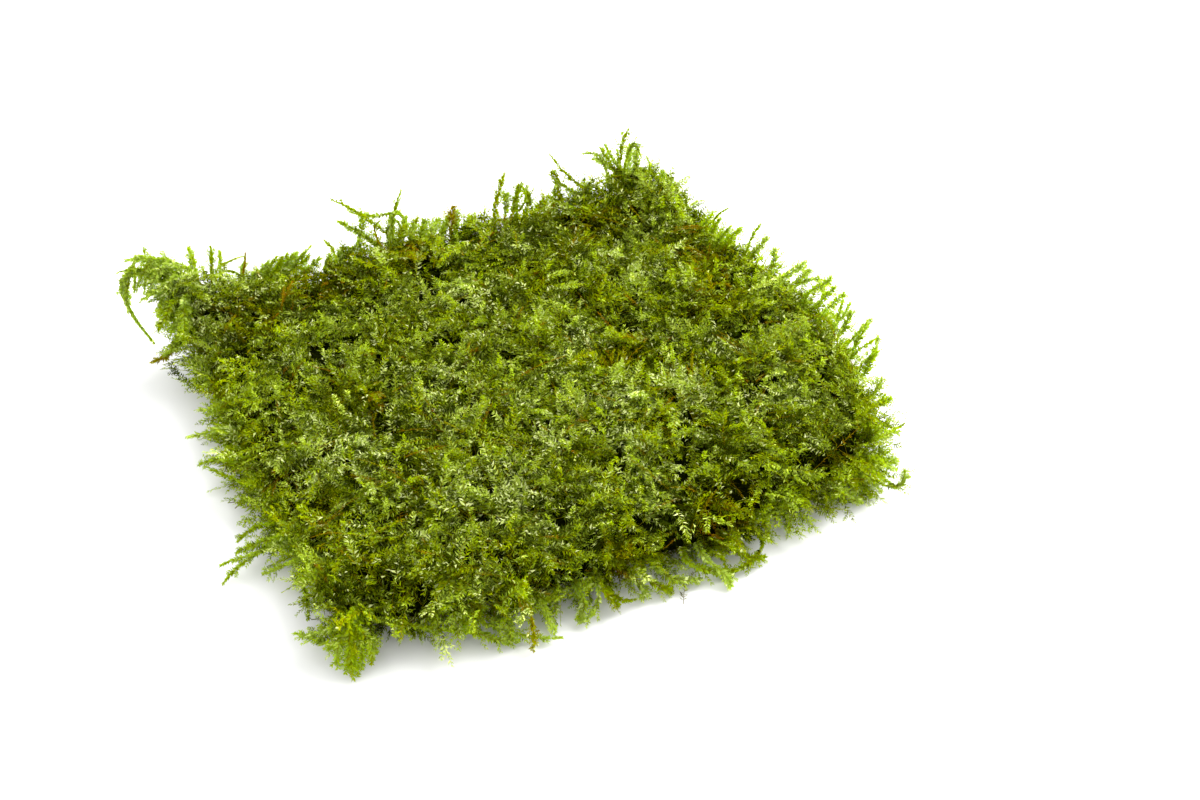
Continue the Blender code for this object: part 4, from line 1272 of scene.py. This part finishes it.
class MOSS_OT_fronds(Operator):
    """Grow the fronds of the mat's top and sides"""

    bl_idname = "moss.fronds"
    bl_label = "Fronds"

    def execute(self, context):
        sizes = context.scene.moss_sizes
        dice = np.random.default_rng(FRONDS_DICE)
        core = tree_of(bpy.data.objects["old_growth"])
        solid = merged_mat()
        cover, cover_out = cover_fronds(solid, core, sizes, dice)
        leaders, leaders_out = leading_fronds(solid, core, sizes, dice)
        solid.free()
        cover_zones = zones(cover_out, cover.routes[:, 2])
        leader_zones = zones(leaders_out, leaders.routes[:, 2])
        material = leaf_material(context.scene.moss_colours)
        for zone in sorted(set(cover_zones)):
            growth = Growth()
            grow_fronds(growth, pick(cover, cover_zones == zone), MAT_FROND, dice)
            leading = pick(leaders, leader_zones == zone)
            grow_fronds(growth, leading, LEADER, dice)
            if zone.startswith("edge"):
                grow_branches(growth, leading, LEADER_BRANCH, BRANCH_PLACES, dice)
            add_piece(growth.mesh(zone), zone, material, [MAT])
        return {"FINISHED"}


class MOSS_OT_brown_stems(Operator):
    """Grow the brown stems that stand between the fronds"""

    bl_idname = "moss.brown_stems"
    bl_label = "Brown stems"

    def execute(self, context):
        dice = np.random.default_rng(BROWN_DICE)
        core = tree_of(bpy.data.objects["old_growth"])
        solid = merged_mat()
        growth = Growth()
        grow_fronds(growth, brown_stems(solid, core, context.scene.moss_sizes, dice), BROWN_STEM, dice)
        solid.free()
        material = leaf_material(context.scene.moss_colours)
        add_piece(growth.mesh("brown_stems"), "brown_stems", material, [MAT])
        return {"FINISHED"}


class MOSS_OT_underside(Operator):
    """Grow the old fronds that are pressed flat under the mat"""

    bl_idname = "moss.underside"
    bl_label = "Underside"

    def execute(self, context):
        dice = np.random.default_rng(UNDERSIDE_DICE)
        solid = merged_mat()
        growth = Growth()
        grow_fronds(growth, underside_fronds(solid, context.scene.moss_sizes, dice), FLAT_FROND, dice)
        solid.free()
        material = leaf_material(context.scene.moss_colours)
        add_piece(growth.mesh("underside_fronds"), "underside_fronds", material, [MAT])
        return {"FINISHED"}


class MOSS_OT_shoots(Operator):
    """Make the single shoots that stand clear of the mat"""

    bl_idname = "moss.shoots"
    bl_label = "Single shoots"

    def execute(self, context):
        core = tree_of(bpy.data.objects["old_growth"])
        material = leaf_material(context.scene.moss_colours)
        for number, (node, (*points, kind)) in enumerate(SHOOTS.items()):
            dice = np.random.default_rng(number + SHOOTS_DICE)
            brown = node in BROWN_SHOOTS
            tone = shoot_tone(points[2], SHOOT_AGE, dice)
            if brown:
                tone[1] = dice.uniform(*BROWN_TINTS)
            if kind == "rope":
                tone = ROPE_TONE
            growth = Growth()
            grow_shoot(growth, points, kind, tone, core, dice)
            add_piece(growth.mesh(f"{node}_frond"), f"{node}_frond", material, [node])
        return {"FINISHED"}


class MOSS_OT_sprays(Operator):
    """Grow the sprays over the mat, and the thinner ones between the single shoots"""

    bl_idname = "moss.sprays"
    bl_label = "Sprays"

    def execute(self, context):
        dice = np.random.default_rng(SPRAYS_DICE)
        core = tree_of(bpy.data.objects["old_growth"])
        growth = Growth()
        for *points, kind in TWIGS:
            tone = shoot_tone(points[2], TWIG_AGE, dice)
            grow_shoot(growth, points, kind, tone, core, dice)
        material = leaf_material(context.scene.moss_colours)
        add_piece(growth.mesh("edge_sprays"), "edge_sprays", material, [MAT])
        solid = merged_mat()
        sprays = surface_sprays(solid, core, context.scene.moss_sizes, dice)
        solid.free()
        growth = Growth()
        grow_fronds(growth, sprays, SPRAY, dice)
        grow_branches(growth, sprays, SPRAY_BRANCH, BRANCH_PLACES, dice)
        add_piece(growth.mesh("surface_sprays"), "surface_sprays", material, [MAT])
        return {"FINISHED"}


def tree_of(piece):
    bm = bmesh.new()
    bm.from_mesh(piece.data)
    tree = BVHTree.FromBMesh(bm)
    bm.free()
    return tree


def lay_floor(scene, stage):
    bm = bmesh.new()
    bmesh.ops.create_grid(bm, x_segments=1, y_segments=1, size=HALF_FLOOR)
    mesh = bpy.data.meshes.new("floor")
    bm.to_mesh(mesh)
    bm.free()
    floor = bpy.data.objects.new("floor", mesh)
    scene.collection.objects.link(floor)
    paint = bpy.data.materials.new("floor")
    paint.use_nodes = True
    inputs = paint.node_tree.nodes["Principled BSDF"].inputs
    inputs["Base Color"].default_value = (*stage.floor, 1)
    inputs["Roughness"].default_value = 0.8
    mesh.materials.append(paint)


def set_lights(scene, stage):
    """Light from all round, and a soft lamp behind the clump."""
    world = bpy.data.worlds.new("surround")
    world.use_nodes = True
    inputs = world.node_tree.nodes["Background"].inputs
    inputs["Color"].default_value = (1, 1, 1, 1)
    inputs["Strength"].default_value = stage.surround
    scene.world = world
    lamp = bpy.data.lights.new("key", "AREA")
    lamp.size = KEY_SIZE
    lamp.energy = stage.key_power
    key = bpy.data.objects.new("key", lamp)
    key.location = KEY_PLACE
    key.rotation_euler = (-key.location).to_track_quat("-Z", "Y").to_euler()
    scene.collection.objects.link(key)


def place_camera(scene, stage):
    lens = bpy.data.cameras.new("camera")
    lens.lens = stage.lens
    lens.clip_start = 0.01
    camera = bpy.data.objects.new("camera", lens)
    away = Vector(
        (
            math.sin(stage.azimuth) * math.cos(stage.elevation),
            -math.cos(stage.azimuth) * math.cos(stage.elevation),
            math.sin(stage.elevation),
        )
    )
    camera.location = CAMERA_AIM + away * stage.distance
    camera.rotation_euler = away.to_track_quat("Z", "Y").to_euler()
    scene.collection.objects.link(camera)
    scene.camera = camera


class MOSS_OT_stage(Operator):
    """Lay the floor, set the lights and place the camera"""

    bl_idname = "moss.stage"
    bl_label = "Stage"

    def execute(self, context):
        scene = context.scene
        lay_floor(scene, scene.moss_stage)
        set_lights(scene, scene.moss_stage)
        place_camera(scene, scene.moss_stage)
        scene.view_settings.view_transform = "Standard"
        return {"FINISHED"}


GROUPS = {"moss_sizes": MossSizes, "moss_colours": MossColours, "moss_stage": MossStage}
OPERATORS = (
    MOSS_OT_core,
    MOSS_OT_fronds,
    MOSS_OT_brown_stems,
    MOSS_OT_underside,
    MOSS_OT_shoots,
    MOSS_OT_sprays,
    MOSS_OT_stage,
)


class MOSS_PT_clump(Panel):
    """Lists the clump's pieces and their settings"""

    bl_label = "Moss clump"
    bl_idname = "MOSS_PT_clump"
    bl_space_type = "VIEW_3D"
    bl_region_type = "UI"
    bl_category = "Moss"

    def draw(self, context):
        for group in GROUPS:
            box = self.layout.box()
            for name in GROUPS[group].__annotations__:
                box.prop(getattr(context.scene, group), name)
        for operator in OPERATORS:
            self.layout.operator(operator.bl_idname)


def register():
    for cls in (*GROUPS.values(), *OPERATORS, MOSS_PT_clump):
        bpy.utils.register_class(cls)
    for name, group in GROUPS.items():
        setattr(bpy.types.Scene, name, PointerProperty(type=group))


def unregister():
    for name in GROUPS:
        delattr(bpy.types.Scene, name)
    for cls in reversed((*GROUPS.values(), *OPERATORS, MOSS_PT_clump)):
        bpy.utils.unregister_class(cls)


def main():
    register()
    bpy.ops.moss.core()
    bpy.ops.moss.fronds()
    bpy.ops.moss.brown_stems()
    bpy.ops.moss.underside()
    bpy.ops.moss.shoots()
    bpy.ops.moss.sprays()
    bpy.ops.moss.stage()


if __name__ == "__main__":
    main()
